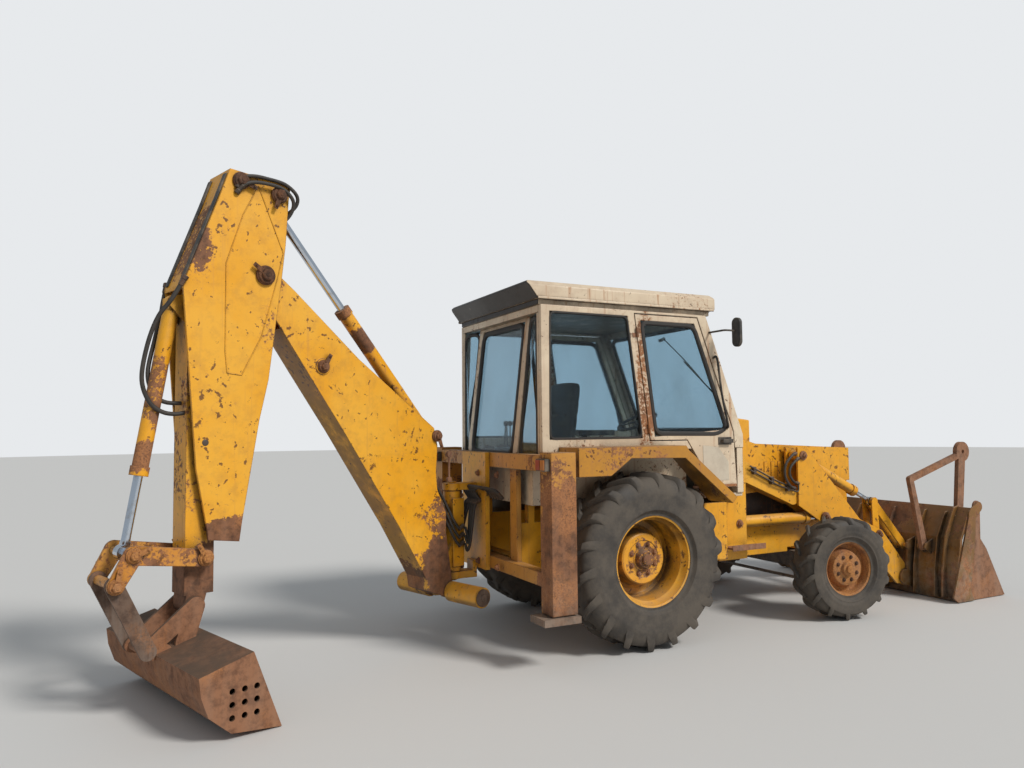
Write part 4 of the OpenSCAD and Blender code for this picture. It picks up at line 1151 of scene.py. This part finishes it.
tilt = Matrix.Translation(at(0.030, 0, CAB_FLOOR + 0.365)) @ Matrix.Rotation(math.radians(-3), 4, "Y")
base = cushion("seat_cushion", tilt, (0.560, 0.480, 0.135), (0.35, -0.3))
lean = Matrix.Translation(at(-0.225, 0, CAB_FLOOR + 0.700)) @ Matrix.Rotation(math.radians(-82), 4, "Y")
back = cushion("seat_back", lean, (0.600, 0.480, 0.120), (0.45, 0.0, -0.45))
SEAT_STOCK = [((0.060, 0, 0.145), (0.300, 0.270, 0.290)), ((0.030, 0, 0.297), (0.420, 0.400, 0.020)),
              ((-0.200, 0, 0.300), (0.160, 0.200, 0.030)), ((-0.262, 0, 0.500), (0.036, 0.300, 0.430))]
for sign in (-1, 1):
    SEAT_STOCK += [((-0.025, sign * 0.270, 0.545), (0.350, 0.060, 0.050)),
                   ((-0.150, sign * 0.255, 0.450), (0.060, 0.030, 0.150))]
pedestal = Shape()
for (x, y, z), size in SEAT_STOCK:
    pedestal.box(Matrix.Translation(at(x, y, CAB_FLOOR + z)), size)
seat_base = pedestal.make("seat_base", black_plastic, "machine", "black_trim", 0.008)
for piece in (base, back, seat_base):
    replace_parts(piece, "seat")

# %% [markdown]
# ## Hydraulic hoses and pipes
# Oil reaches each ram through black rubber hoses, and steel pipes where nothing bends. A hose that
# crosses a joint is fixed at both ends and sags in a loop long enough for the joint's travel, so it isn't
# a free cord: it is a tube along a smooth curve, and where it spans a sliding or turning joint it stays
# loose, on neither body. Each end has a crimped steel fitting.

# %% Hoses
HOSE, THIN_HOSE = 0.014, 0.012
CRIMP = ((-0.016, 0.8), (-0.014, 1.5), (0.012, 1.5), (0.016, 1.25), (0.055, 1.25), (0.058, 1.0))


def hose(name, points, body, radius=THIN_HOSE, far_end=True):
    """A hose with a crimped fitting at each end; one that goes inside has none at its far end."""
    path = smooth_path(points, 9)
    Shape().tube(path, radius, 12).make(name, hose_rubber, body, "black_trim")
    ends = Shape()
    for tip, inner in ((path[0], path[4]), (path[-1], path[-5]))[:1 + far_end]:
        ends.lathe([(along, radius * wide) for along, wide in CRIMP], aim(tip, inner - tip), 12)
    ends.make(name + "_ends", dark_iron, body, "dark_iron", sharp=30)


def round_bends(points, bend=0.035):
    """A path of straight runs with tight bends, as pipe is bent."""
    points = [Vector(p) for p in points]
    path = [points[0]]
    for before, corner, after in zip(points, points[1:], points[2:]):
        back, ahead = before - corner, after - corner
        cut = min(bend, back.length * 0.45, ahead.length * 0.45)
        start, end = corner + back.normalized() * cut, corner + ahead.normalized() * cut
        path += [start.lerp(corner, t).lerp(corner.lerp(end, t), t) for t in (0, 0.25, 0.5, 0.75, 1)]
    return path + [points[-1]]


def pipe(name, points, body):
    Shape().tube(round_bends(points), 0.008).make(name, dark_iron, body, "dark_iron")


# %% [markdown]
# ## Hoses of the backhoe
# Two hoses feed the bucket ram. They leave the outer dipper near its top and hang in a loop down to the
# sliding dipper, which carries them along. A short bridge of hose crosses the dipper's top, and a bundle
# bends round the kingpost between the carriage and the boom.

# %% Backhoe hoses
OUTER_LOOP = [(2.256, 0.185, 2.760), (2.326, 0.150, 2.617), (2.393, 0.110, 2.500), (2.445, 0.085, 2.323),
              (2.471, 0.070, 2.113), (2.427, 0.060, 1.975), (2.352, 0.060, 1.906), (2.258, 0.060, 1.887),
              (2.140, 0.060, 1.907)]
INNER_LOOP = [(2.236, -0.185, 2.760), (2.270, -0.150, 2.638), (2.300, -0.105, 2.537), (2.348, -0.070, 2.368),
              (2.397, -0.040, 2.157), (2.372, -0.020, 2.030), (2.300, 0.000, 1.965), (2.140, 0.000, 1.960)]
BRIDGE = [(1.905, 0.172, 3.440), (1.880, 0.178, 3.500), (1.800, 0.178, 3.528), (1.700, 0.178, 3.532),
          (1.560, 0.178, 3.520), (1.470, 0.178, 3.460), (1.462, 0.160, 3.390), (1.520, 0.120, 3.320),
          (1.620, 0.100, 3.270)]
LOW_BRIDGE = [(1.905, 0.172, 3.400), (1.860, 0.200, 3.455), (1.760, 0.200, 3.485), (1.600, 0.200, 3.480),
              (1.515, 0.200, 3.420), (1.500, 0.180, 3.350), (1.540, 0.140, 3.270), (1.640, 0.110, 3.220)]
SLIDE = ("dipper", "dipper_slide", hoe(2.29, 0, 2.60), hoe(2.20, 0, 1.93))
FOOT_BEND = ("kingpost", "boom", hoe(-0.06, 0, 0.98), hoe(0.20, 0, 1.30))

hose("bucket_hose_outer", [hoe(*p) for p in OUTER_LOOP], SLIDE, HOSE)
hose("bucket_hose_inner", [hoe(*p) for p in INNER_LOOP], SLIDE, HOSE)
hose("dipper_bridge_hose", [hoe(*p) for p in BRIDGE], "dipper", 0.013, False)
hose("dipper_bridge_hose_low", [hoe(*p) for p in LOW_BRIDGE], "dipper", 0.013, False)
for i in range(6):
    side, row = (1, -1)[i // 3], i % 3
    up = 0.070 * row
    out, lane = side * 0.104, side * 0.092
    climb = [(-0.150, out, 0.800), (-0.100, out * 1.12, 0.790), (-0.040, out * 1.15, 0.860),
             (0.020, out, 0.980), (0.100, lane, 1.120), (0.220, lane, 1.270), (0.380, lane, 1.430)]
    hose("boom_hose_%d" % i, [hoe(r, s, z + up) for r, s, z in climb], FOOT_BEND, far_end=False)
    start = at(-1.046, 0.045 * i, 1.160)
    end = hoe(-0.180, out, 0.790 + up)
    sag = start.lerp(end, 0.5) + Vector((-0.02, 0, -0.16 - 0.02 * row))
    tail = [start, start + Vector((-0.05, 0, -0.06)), sag, end + Vector((0.02, 0, -0.06)), end]
    hose("tail_hose_%d" % i, tail, ("carriage", "kingpost", start, end), far_end=False)
    feed = at(-0.985, -0.300 + 0.050 * i, 1.200)
    hump = [feed, feed + Vector((-0.060, 0, 0.06)), feed.lerp(start, 0.5) + Vector((-0.10, 0, 0.10)),
            start + Vector((-0.050, 0, 0.08)), start]
    hose("feed_hose_%d" % i, hump, ("machine", "carriage", feed, start), far_end=False)

# %% [markdown]
# ## Pins, collars and keepers
# Each joint of the backhoe turns on a steel pin. Its head is a hexagon in a welded collar, and a small
# tab with a bolt keeps it from turning. One function makes the set for any pin in the backhoe's plane, on
# both sides.

# %% Pins of the backhoe
ACROSS = hoe(0, 1, 0) - hoe(0, 0, 0)
OUTWARD = hoe(1, 0, 0) - hoe(0, 0, 0)


def hoe_pin(name, r, z, face, s, body, size, tab_turn, material):
    """A boss on the plate's face; a head, collar and keeper tab at both ends of a pin that reaches s."""
    shape, turn = Shape(), math.radians(tab_turn)
    for sign in (-1, 1):
        out = ACROSS * sign
        place = aim(hoe(r, sign * s, z), out)
        boss = [(face - s - 0.002, size * 1.62), (-0.004, size * 1.62), (-0.001, size * 1.50)]
        shape.lathe(boss, place, 32)
        shape.lathe([(-0.004, size * 1.42), (0.006, size * 1.42), (0.010, size * 1.30)], place, 28)
        shape.lathe([(0.010, size), (0.026, size), (0.031, size * 0.80)], place, 6)
        shape.lathe([(0.031, size * 0.42), (0.034, size * 0.38)], place, 16)
        tab = hoe(r, sign * (s + 0.005), z)
        reach = OUTWARD * math.cos(turn) + Vector((0, 0, math.sin(turn)))
        wide = reach.cross(out).normalized() * 0.017
        outline = [tab + reach * size - wide, tab + reach * (size + 0.075) - wide * 0.8,
                   tab + reach * (size + 0.075) + wide * 0.8, tab + reach * size + wide]
        shape.plate(outline, out * 0.008)
        shape.bolt(tab + reach * (size + 0.055) + out * 0.008, out, 0.009)
    shape.make("pin_" + name, material, body, "rusted_steel", sharp=30)


PINS = [
    ("slide_ram", 1.880, 3.480, 0.160, 0.182, "dipper", 0.036, 200, pin_rust),
    ("dipper_ram", 1.600, 3.435, 0.172, 0.188, "dipper", 0.036, -70, pin_rust),
    ("dipper_pivot", 1.696, 2.851, 0.160, 0.184, "dipper", 0.042, 35, pin_rust),
    ("boom_ram", 1.220, 2.240, 0.134, 0.148, "boom", 0.030, 120, pin_rust),
    ("dipper_base", 0.150, 1.715, 0.130, 0.148, "boom", 0.030, 250, pin_rust),
    ("fulcrum", 2.100, 0.960, 0.196, 0.200, "levers", 0.032, 60, orange_rust),
    ("lever_eye", 2.538, 1.027, 0.196, 0.200, "levers", 0.030, 160, orange_rust),
    ("lever_tail", 2.636, 0.855, 0.196, 0.200, "levers", 0.030, 100, orange_rust)]
for pin in PINS:
    hoe_pin(*pin)
print("pins:", len(PINS))

# %% [markdown]
# ## Guard strip and welds
# A dark strip guards the hoses along the dipper's outer edge. A weld bead runs round the plate that
# stiffens the dipper; a bead is a rope of small ripples, and catches light exactly where the eye expects
# a real fabrication to be joined.

# %% Welds and guards
WELD_RADIUS, WELD_RIPPLE = 0.00477, 0.24 / 1.06


def weld(name, points, body):
    """A rippled bead along straight runs between the points."""
    path = []
    for start, end in zip(points, points[1:]):
        count = max(2, int((end - start).length / 0.006))
        path += [start.lerp(end, k / count) for k in range(count)]
    bead = Shape().tube(path + [points[-1]], WELD_RADIUS, 6, WELD_RIPPLE)
    bead.make(name, yellow, body, "rusted_steel", sharp=70)


PATCH = [(1.750, 3.470), (1.560, 3.030), (1.600, 2.850), (1.720, 2.420), (1.860, 2.150), (1.960, 2.160),
         (1.975, 2.300), (1.975, 2.900), (1.860, 3.250), (1.750, 3.470)]
GUARD_LINE = ((1.965, 3.520), (2.026, 3.345), (2.250, 2.740))
GUARD_SECTION = ((-0.02, 0.0), (0.02, 0.0), (0.02, 0.014), (-0.02, 0.014))
for sign, side in ((1, "right"), (-1, "left")):
    weld("dipper_weld_" + side, [hoe(r, sign * 0.161, z) for r, z in PATCH], "dipper")
    guard = [hoe(r, sign * 0.120, z) for r, z in GUARD_LINE]
    rings = [[point + ACROSS * sign * a + OUTWARD * b for a, b in GUARD_SECTION] for point in guard]
    Shape().rings(rings).make("dipper_guard_" + side, black_plastic, "dipper", "black_trim", 0.003)

# %% [markdown]
# ## The boom's foot and the kingpost
# The boom turns on a long tube at its foot, closed by lighter end discs, and the kingpost's pins are kept
# by small bolted plates.

# %% Boom foot
foot_trim = Shape()
for sign in (-1, 1):
    out = ACROSS * sign
    foot_trim.lathe([(0, 0.070), (0.010, 0.070), (0.014, 0.064), (0.014, 0.030), (0.024, 0.028),
                     (0.026, 0.001)], aim(hoe(0, sign * 0.520, 0.420), out))
foot_trim.make("foot_discs", grey_rust, "kingpost", "rusted_steel")
keepers = Shape()
for z in (0.590, 1.200):
    for s in (-0.060, 0.060):
        keepers.bolt(hoe(-0.185, s, z), -OUTWARD, 0.012)
for s in (-0.075, 0.075):
    keepers.bolt(hoe(-0.030, s, 1.010), ACROSS * (1 if s > 0 else -1), 0.014)
keepers.make("kingpost_bolts", bare_rust, "kingpost", "rusted_steel", sharp=30)
link_top, link_foot = hoe(0.028, 0.142, 1.560), hoe(0.028, 0.142, 1.350)
hanger = Shape().tube([link_top, link_foot], 0.010, 8)
hanger.lathe([(-0.014, 0.026), (0.014, 0.026)], aim(link_top, ACROSS), 20)
hanger.lathe([(-0.014, 0.022), (0.014, 0.022)], aim(link_foot, ACROSS), 20)
hanger.lathe([(-0.025, 0.010), (0.012, 0.010)], aim(link_top, ACROSS), 12)
hanger.make("boom_lock_link", bare_rust, "boom", "rusted_steel")
print("boom foot done")

# %% [markdown]
# ## Loader trim
# Two hoses loop on the outside of each arm's knee, steel pipes run along the beam to the tilt ram, and
# each pivot shows a big bolt and washer. A step hangs below the cab door.

# %% Loader trim
ARM_FACE, BOSS_FACE, TOWER_FACE = 0.625, 0.637, 0.640
ARM_HOSES = {
    "knee_hose_": [(2.010, "face", 1.500), (1.930, "wide", 1.480), (1.850, "wide", 1.400),
                   (1.840, "wide", 1.290), (1.900, "wide", 1.200), (1.985, "face", 1.170)],
    "knee_hose_low_": [(2.045, "face", 1.450), (1.975, "wide", 1.430), (1.910, "wide", 1.370),
                       (1.900, "wide", 1.300), (1.950, "wide", 1.235), (2.030, "face", 1.215)]}
ARM_PIPES = {
    "beam_pipe_": [(1.420, 1.400), (1.760, 1.245), (1.985, 1.170)],
    "beam_pipe_low_": [(1.420, 1.365), (1.760, 1.210), (2.030, 1.130), (2.030, 1.215)]}
ARM_PINS = ((2.380, 0.870, BOSS_FACE, 0.030), (3.150, 0.650, ARM_FACE, 0.026),
            (2.110, 1.480, ARM_FACE, 0.026))

for sign, side in SIDES:
    out = (0, sign, 0)
    reach = {"face": sign * ARM_FACE, "wide": sign * (ARM_FACE + 0.030), "lane": sign * (ARM_FACE + 0.010)}
    for name, line in ARM_HOSES.items():
        hose(name + side, [at(x, reach[y], z) for x, y, z in line], "loader")
    for name, line in ARM_PIPES.items():
        pipe(name + side, [at(x, reach["lane"], z) for x, z in line], "loader")
    clamps = Shape()
    for x, z in ((1.480, 1.356), (1.700, 1.256), (1.900, 1.180)):
        clamps.box(Matrix.Translation(at(x, sign * (ARM_FACE - 0.003), z)), (0.030, 0.036, 0.070))
    clamps.make("pipe_clamps_" + side, dark_iron, "loader", "dark_iron", 0.002)

    heads = Shape()
    heads.bolt(at(1.200, sign * TOWER_FACE, 1.430), out, 0.030)
    heads.bolt(at(1.270, sign * TOWER_FACE, 0.880), out, 0.028)
    heads.make("tower_bolts_" + side, bare_rust, "machine", "rusted_steel", sharp=30)
    caps = Shape()
    for x, z, y, size in ARM_PINS:
        boss = [(-0.002, size * 1.7), (0.012, size * 1.7), (0.015, size * 1.5)]
        caps.lathe(boss, aim(at(x, sign * y, z), out))
        caps.bolt(at(x, sign * (y + 0.014), z), out, size)
    caps.make("arm_caps_" + side, bare_rust, "loader", "rusted_steel", sharp=30)

    step = Shape()
    for x in (1.100, 1.320):
        step.box(Matrix.Translation(at(x, sign * 0.720, 0.672)), (0.040, 0.160, 0.012))
    step.box(Matrix.Translation(at(1.235, sign * 0.740, 0.686)), (0.390, 0.120, 0.016))
    step.box(Matrix.Translation(at(1.235, sign * 0.797, 0.690)), (0.390, 0.008, 0.050))
    step.make("step_" + side, brown_rust, "machine", "rusted_steel", 0.003)

# %% [markdown]
# ## Sawn plates
# A cab is made of pressed plates with windows cut out. Drawing every edge of such a plate by hand is slow
# and easy to get wrong, so a plate is drawn whole and its openings are sawn out with the Boolean
# modifier's exact solver. The cutters are thrown away, and what is left is an ordinary mesh.

# %% Saw
CAB_WALL, WAIST_Z, SILL_Z, ROOF_Z, PANE = 0.042, 1.580, 1.480, 2.750, 0.006


def prism(shape, outline, y0, y1):
    """An outline of [x, z] points, extruded across the machine from y0 to y1."""
    return shape.plate([at(x, y0, z) for x, z in outline], Vector((0, y1 - y0, 0)))


def sawn(shape, tools, operation="DIFFERENCE"):
    """The shape after each tool has been cut out of it, or after only the common part is kept."""
    blank = shape.build("stock")
    knives = [tool.build("knife") for tool in tools]
    for knife in knives:
        cut = blank.modifiers.new("cut", "BOOLEAN")
        cut.object, cut.operation, cut.solver = knife, operation, "EXACT"
    result = blank.evaluated_get(bpy.context.evaluated_depsgraph_get()).to_mesh()
    made = Shape().add([v.co for v in result.vertices], [list(p.vertices) for p in result.polygons])
    for loose in [blank, *knives]:
        mesh = loose.data
        bpy.data.objects.remove(loose)
        bpy.data.meshes.remove(mesh)
    return made


# %% [markdown]
# ## The glazed cab
# The drawing's cab frame is a plain box with openings. The real one has a leaning middle frame at the
# rear, thin corner posts and a pane in every opening, so one sawn shell takes the frame's place, at the
# same walls, and the missing panes are added: windscreen, rear window and the two quarter panes that fold
# back to the corner posts.

# %% Cab shell and panes
WALL_OUTLINE = [(-0.870, WAIST_Z), (1.190, WAIST_Z), (1.190, 1.700), (0.790, ROOF_Z), (-0.870, ROOF_Z)]
DOOR_HOLE = [(0.022, 2.728), (0.162, 1.652), (0.557, 1.652), (0.844, 1.227), (1.113, 1.227), (1.083, 1.728),
             (0.698, 2.728)]
SCREEN_FRAME = [(1.190, WAIST_Z), (1.190, 1.700), (0.790, ROOF_Z), (0.748, ROOF_Z), (1.148, 1.700),
                (1.148, WAIST_Z)]
LEDGE_PLAN = [(-0.850, 0.800), (-0.870, 0.800), (-0.960, 0.480), (-0.960, -0.480), (-0.870, -0.800),
              (-0.850, -0.800)]

shell = Shape()
for sign in (-1, 1):
    inner, outer = sign * (CAB_SIDE - CAB_WALL), sign * CAB_SIDE
    holes = [prism(Shape(), outline, sign * 0.70, sign * 0.90) for outline in (DOOR_HOLE, SIDE_WINDOW)]
    wall = sawn(prism(Shape(), WALL_OUTLINE, inner, outer), holes)
    shell.add(wall.points, wall.faces)
    block(shell, (-0.870, inner - sign * 0.030, SILL_Z), (-0.830, inner, 2.690))
    block(shell, (-0.870, inner, SILL_Z), (-0.830, outer, WAIST_Z))
screen_hole = block(Shape(), (0.500, -0.715, 1.720), (1.300, 0.715, 2.690))
front = sawn(prism(Shape(), SCREEN_FRAME, CAB_WALL - CAB_SIDE, CAB_SIDE - CAB_WALL), [screen_hole])
shell.add(front.points, front.faces)
(foot_x, foot_z), (top_x, top_z) = REAR_FOOT, REAR_TOP
back_outline = [REAR_FOOT, (foot_x + 0.040, foot_z), (top_x + 0.040, top_z), REAR_TOP]
back_hole = block(Shape(), (-1.100, -0.420, SILL_Z + 0.060), (-0.600, 0.420, 2.660))
back_frame = sawn(prism(Shape(), back_outline, -0.500, 0.500), [back_hole])
shell.add(back_frame.points, back_frame.faces)
block(shell, (-0.870, CAB_WALL - CAB_SIDE, 2.690), (-0.760, CAB_SIDE - CAB_WALL, ROOF_Z))
shell.plate([at(x, y, SILL_Z - 0.040) for x, y in LEDGE_PLAN], Vector((0, 0, 0.040)))
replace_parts(shell.make("cab_shell", cream, "machine", "cream_paint", 0.004, 30), "cab_frame")

panes = Shape()
for foot, top, half in (((1.162, 1.720), (0.793, 2.690), 0.715), ((-0.923, 1.540), (-0.7895, 2.660), 0.420)):
    prism(panes, [foot, (foot[0] + PANE, foot[1]), (top[0] + PANE, top[1]), top], -half, half)
for sign in (-1, 1):
    quarter = ((-0.855, 0.728, 1.500), (-0.915, 0.500, 1.500), (-0.790, 0.500, 2.690), (-0.855, 0.728, 2.690))
    panes.plate([at(x, sign * y, z) for x, y, z in quarter], FORWARD * PANE)
panes.make("cab_panes", glass, "machine", "pane_glass")

# %% [markdown]
# ## Roof
# The roof is a pressed cap that stands out over a gutter all round, with a visor that leans back over the
# rear window. Two outlines, one from the side and one from behind, meet in a Boolean's common part.

# %% Roof cap
GUTTER_Z, CAP_Z = 2.795, 2.940
CAP_SIDE = [(-0.890, GUTTER_Z), (-0.985, CAP_Z - 0.020), (-0.965, CAP_Z), (0.870, CAP_Z),
            (0.900, CAP_Z - 0.025), (0.900, GUTTER_Z + 0.015), (0.885, GUTTER_Z)]
CAP_BACK = [(0.790, GUTTER_Z), (0.800, GUTTER_Z + 0.015), (0.800, CAP_Z - 0.040), (0.760, CAP_Z)]
across = [(-y, z) for y, z in CAP_BACK] + [(y, z) for y, z in reversed(CAP_BACK)]
cap = sawn(prism(Shape(), CAP_SIDE, -0.85, 0.85),
           [Shape().plate([at(-1.05, y, z) for y, z in across], Vector((2.0, 0, 0)))], "INTERSECT")
block(cap, (-0.880, -0.775, ROOF_Z), (0.850, 0.775, GUTTER_Z))
for sign in (-1, 1):
    block(cap, (-0.900, sign * 0.800, GUTTER_Z - 0.006), (0.880, sign * 0.812, GUTTER_Z + 0.018))
for x in (-0.550, -0.150, 0.250, 0.650):
    block(cap, (x - 0.060, -0.640, CAP_Z - 0.004), (x + 0.060, 0.640, CAP_Z + 0.008))
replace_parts(cap.make("roof_cap", roof_cream, "machine", "cream_paint", 0.007, 30), "cab_roof")

# %% [markdown]
# ## Mirrors, lamps and controls
# An oval mirror on a thin arm stands off each front post. Two round work lamps look forward from the
# roof, tail lamps sit on the stabiliser housings and head lamps in the nose. Inside are the steering
# wheel, a dashboard and the console with the backhoe's levers, which show through the glass.

# %% Mirrors and lamps
heads, lamp_bodies, tails = Shape(), Shape(), Shape()
for sign in (-1, 1):
    heads.plate(oval(sign, 0.050, HEAD_HALF), FORWARD * 0.030)
    arm = [at(x, sign * y, 2.600) for x, y in ((0.825, 0.795), (0.825, 1.000), (0.950, 1.000))]
    heads.tube(round_bends(arm, 0.03), 0.009)
    lamp_bodies.lathe([(0, 0.040), (0.020, 0.060), (0.062, 0.066), (0.070, 0.066), (0.070, 0.056)],
                      aim(at(0.898, sign * LAMP_Y, LAMP_Z), FORWARD))
    block(tails, (-1.042, sign * 1.010, 1.455), (-1.000, sign * 1.150, 1.545))
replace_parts(heads.make("mirror_heads", black_plastic, "machine", "black_trim", 0.006, 30), "mirrors")
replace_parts(lamp_bodies.make("work_lamps", dark_iron, "machine", "dark_iron", sharp=30), "lamps")
tails.make("tail_lamps", black_plastic, "machine", "black_trim", 0.003, 30)
nose_lamps, nose_lenses = Shape(), Shape()
for sign in (-1, 1):
    socket = aim(at(2.955, sign * 0.290, 1.000), FORWARD)
    nose_lamps.lathe([(0, 0.070), (0.030, 0.082), (0.043, 0.082), (0.043, 0.072), (0.030, 0.070)], socket)
    nose_lenses.lathe([(0.030, 0.072), (0.040, 0.050), (0.044, 0.001)], socket)
nose_lamps.make("nose_lamps", dark_iron, "machine", "dark_iron", sharp=30)
nose_lenses.make("nose_lenses", clear_lens, "machine", "pane_glass", sharp=60)

# %% Controls
cockpit = Shape()
COLUMN_TILT = math.radians(-25)
column = Matrix.Translation(at(0.900, 0, CAB_FLOOR + 0.020)) @ Matrix.Rotation(COLUMN_TILT, 4, "Y")
cockpit.lathe([(-0.020, 0.060), (0.040, 0.055), (0.060, 0.028), (0.690, 0.028), (0.702, 0.020)], column, 20)
wheel_rim = [(0.690 + 0.014 * math.sin(a), 0.190 + 0.014 * math.cos(a)) for a in angles(12)]
cockpit.lathe(wheel_rim, column, 48, closed=True)
for turn in (0, 120, 240):
    spoke = column @ Matrix.Rotation(math.radians(turn), 4, "Z") @ Matrix.Translation((0.095, 0, 0.690))
    cockpit.box(spoke, (0.190, 0.024, 0.010))
block(cockpit, (1.000, -0.370, CAB_FLOOR), (1.140, 0.370, 1.640))
block(cockpit, (-0.790, -0.230, CAB_FLOOR), (-0.640, 0.230, 1.600))
for i in range(7):
    y = -0.180 + 0.060 * i
    lean = 0.012 * math.sin(2.4 * i)
    cockpit.tube([at(-0.715, y, 1.590), at(-0.715 + lean, y, 1.790)], 0.007, 8)
    cockpit.lathe([(-0.022, 0.008), (-0.010, 0.019), (0.012, 0.020), (0.024, 0.010), (0.026, 0.001)],
                  aim(at(-0.715 + lean, y, 1.812), (0, 0, 1)), 14)
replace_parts(cockpit.make("cockpit", black_plastic, "machine", "black_trim", 0.004, 30), "controls")

# %% [markdown]
# ## Door fittings
# Each door hangs on two barrel hinges on its rear edge and has a grab handle with a standing-off bar.

# %% Hinges and handles
HINGE_FOOT = (0.165, 1.630)
HINGE_WAY = Vector((-0.140, 0, 1.090)).normalized()
BARREL = ((0, 0.009), (0.002, 0.011), (0.038, 0.011), (0.040, 0.009))

for sign, side in SIDES:
    fixed, swung = Shape(), Shape()
    for up in (0.090, 0.900):
        foot = at(HINGE_FOOT[0], sign * (CAB_SIDE + 0.012), HINGE_FOOT[1]) + HINGE_WAY * up
        for half, lift, shift in ((fixed, 0, -0.026), (swung, 0.041, 0.026)):
            half.lathe([(along + lift, radius) for along, radius in BARREL], aim(foot, HINGE_WAY), 16)
            leaf = foot + HINGE_WAY * (lift + 0.020) + Vector((shift, -0.011 * sign, 0))
            half.box(aim(leaf, HINGE_WAY), (0.006, 0.040, 0.038))
    fixed.make("hinge_posts_" + side, bare_rust, "machine", "rusted_steel", 0.001, 30)
    swung.make("hinge_doors_" + side, bare_rust, "door_" + side, "rusted_steel", 0.001, 30)
    handle = block(Shape(), (0.925, sign * 0.800, 1.630), (0.955, sign * 0.830, 1.655))
    block(handle, (0.925, sign * 0.830, 1.625), (1.040, sign * 0.842, 1.660))
    handle.make("door_handle_" + side, black_plastic, "door_" + side, "black_trim", 0.004, 30)
print("cab forms done")

# %% [markdown]
# ## The shovel's back, the bonnet and the kingpost
# Eight ribs and two end pockets stiffen the shovel's back. Stamped louvres cool the engine and the air
# cleaner stands on the bonnet. A welded web joins the kingpost's lugs, and big bolts hold the carriage on
# its rails. A dark disc is painted shade: it stands for the shaded bore through the lower dipper, too dark to
# show its depth.

# %% Ribs, louvres and webs
RIB = [(3.560, 0.040), (3.640, 0.024), (3.650, 0.300), (3.705, 0.620), (3.830, 0.880), (3.780, 0.870),
       (3.640, 0.640), (3.575, 0.300)]
POCKET = [(3.560, 0.040), (3.720, 0.024), (3.740, 0.300), (3.790, 0.620), (3.895, 0.890), (3.870, 0.940),
          (3.790, 0.920), (3.640, 0.640), (3.575, 0.300)]
LOUVRE = ((0, 1.260), (0.045, 1.260), (0.045, 1.420), (0, 1.420))
CARRIAGE_Y = -0.147

ribs = Shape()
for y in (-0.920, -0.690, -0.330, -0.110, 0.110, 0.330, 0.690, 0.920):
    prism(ribs, RIB, y - 0.006, y + 0.006)
for sign in (-1, 1):
    prism(ribs, POCKET, sign * 0.996, sign * 1.012)
ribs.make("shovel_ribs", shovel_paint, "shovel", "yellow_paint", 0.003, 30)

air_box = prism(Shape(), [(1.530, 1.640), (1.530, 1.850), (1.690, 1.830), (1.690, 1.595)], -0.360, -0.180)
air_box.make("air_box", yellow, "bonnet", "yellow_paint", 0.010, 30)
louvres = Shape()
for sign in (-1, 1):
    for i in range(9):
        x = 1.800 + 0.090 * i
        foot = [at(x + wide, sign * 0.4195, z) for wide, z in LOUVRE]
        louvres.rings([foot, [p + Vector((0.004, sign * 0.008, 0)) for p in foot]])
louvres.make("bonnet_louvres", yellow, "bonnet", "yellow_paint", sharp=30)
web_turn = Matrix.Rotation(SLEW, 4, "Z")
web = Shape().box(Matrix.Translation(hoe(-0.1225, 0, 0.890)) @ web_turn, (0.125, 0.176, 0.580))
web.make("kingpost_web", yellow, "kingpost", "yellow_paint", 0.006, 30)
bolts = Shape()
for z in (0.640, 1.390):
    for y in (CARRIAGE_Y - 0.190, CARRIAGE_Y + 0.190):
        bolts.bolt(at(-1.040, y, z), -FORWARD, 0.022)
bolts.make("carriage_bolts", bare_rust, "carriage", "rusted_steel", sharp=30)
# Painted shade: dark discs on the dipper's faces stand for the shaded bore.
bore_shades = Shape()
for sign in (-1, 1):
    mouth = aim(hoe(2.100, sign * 0.160, 1.700), ACROSS * sign)
    bore_shades.lathe([(-0.004, 0.022), (0.001, 0.022), (0.002, 0.019)], mouth, 24)
bore_shades.make("dipper_bores", dark_iron, "dipper", "dark_iron", sharp=30)

# %% [markdown]
# ## Finish for each CAD node
# A table says which finish each node wears. Every node that is shown is in it.

# %% Dress the CAD nodes
FINISHES = {
    yellow: ["chassis", "scuttle", "bonnet", "radiator_cowl", "side_tanks", "loader_arms", "tilt_levers",
             "tilt_links", "carriage", "kingpost"],
    boom_yellow: ["boom"],
    dipper_yellow: ["dipper_outer"],
    slide_yellow: ["dipper_inner"],
    ram_yellow: ["boom_ram_barrel", "dipper_ram_barrel", "bucket_ram_barrel", "lift_ram_barrels",
                 "tilt_ram_barrels"],
    lever_paint: ["tipping_levers"],
    fender_yellow: ["mudguards"],
    housing_paint: ["rear_frame"],
    shovel_paint: ["shovel_back"],
    cream: ["cab_tub", "door_left", "door_right"],
    bucket_rust: ["hoe_bucket"],
    brown_rust: ["shovel_clam", "fork_frames"],
    grey_rust: ["tipping_links"],
    dark_iron: ["engine_block", "front_axle", "rear_axle", "knuckle_left", "knuckle_right", "track_rod"],
    chrome: ["boom_ram_rod", "dipper_ram_rod", "bucket_ram_rod", "lift_ram_rods", "tilt_ram_rods"],
    leg_steel: ["stabiliser_left", "stabiliser_right"],
    glass: ["cab_glass", "door_glass_left", "door_glass_right"],
}

for material, names in FINISHES.items():
    for name in names:
        slots = nodes[name].data.materials
        slots.clear()
        slots.append(material)
print("replaced:", sorted(set(nodes) - {name for names in FINISHES.values() for name in names}))
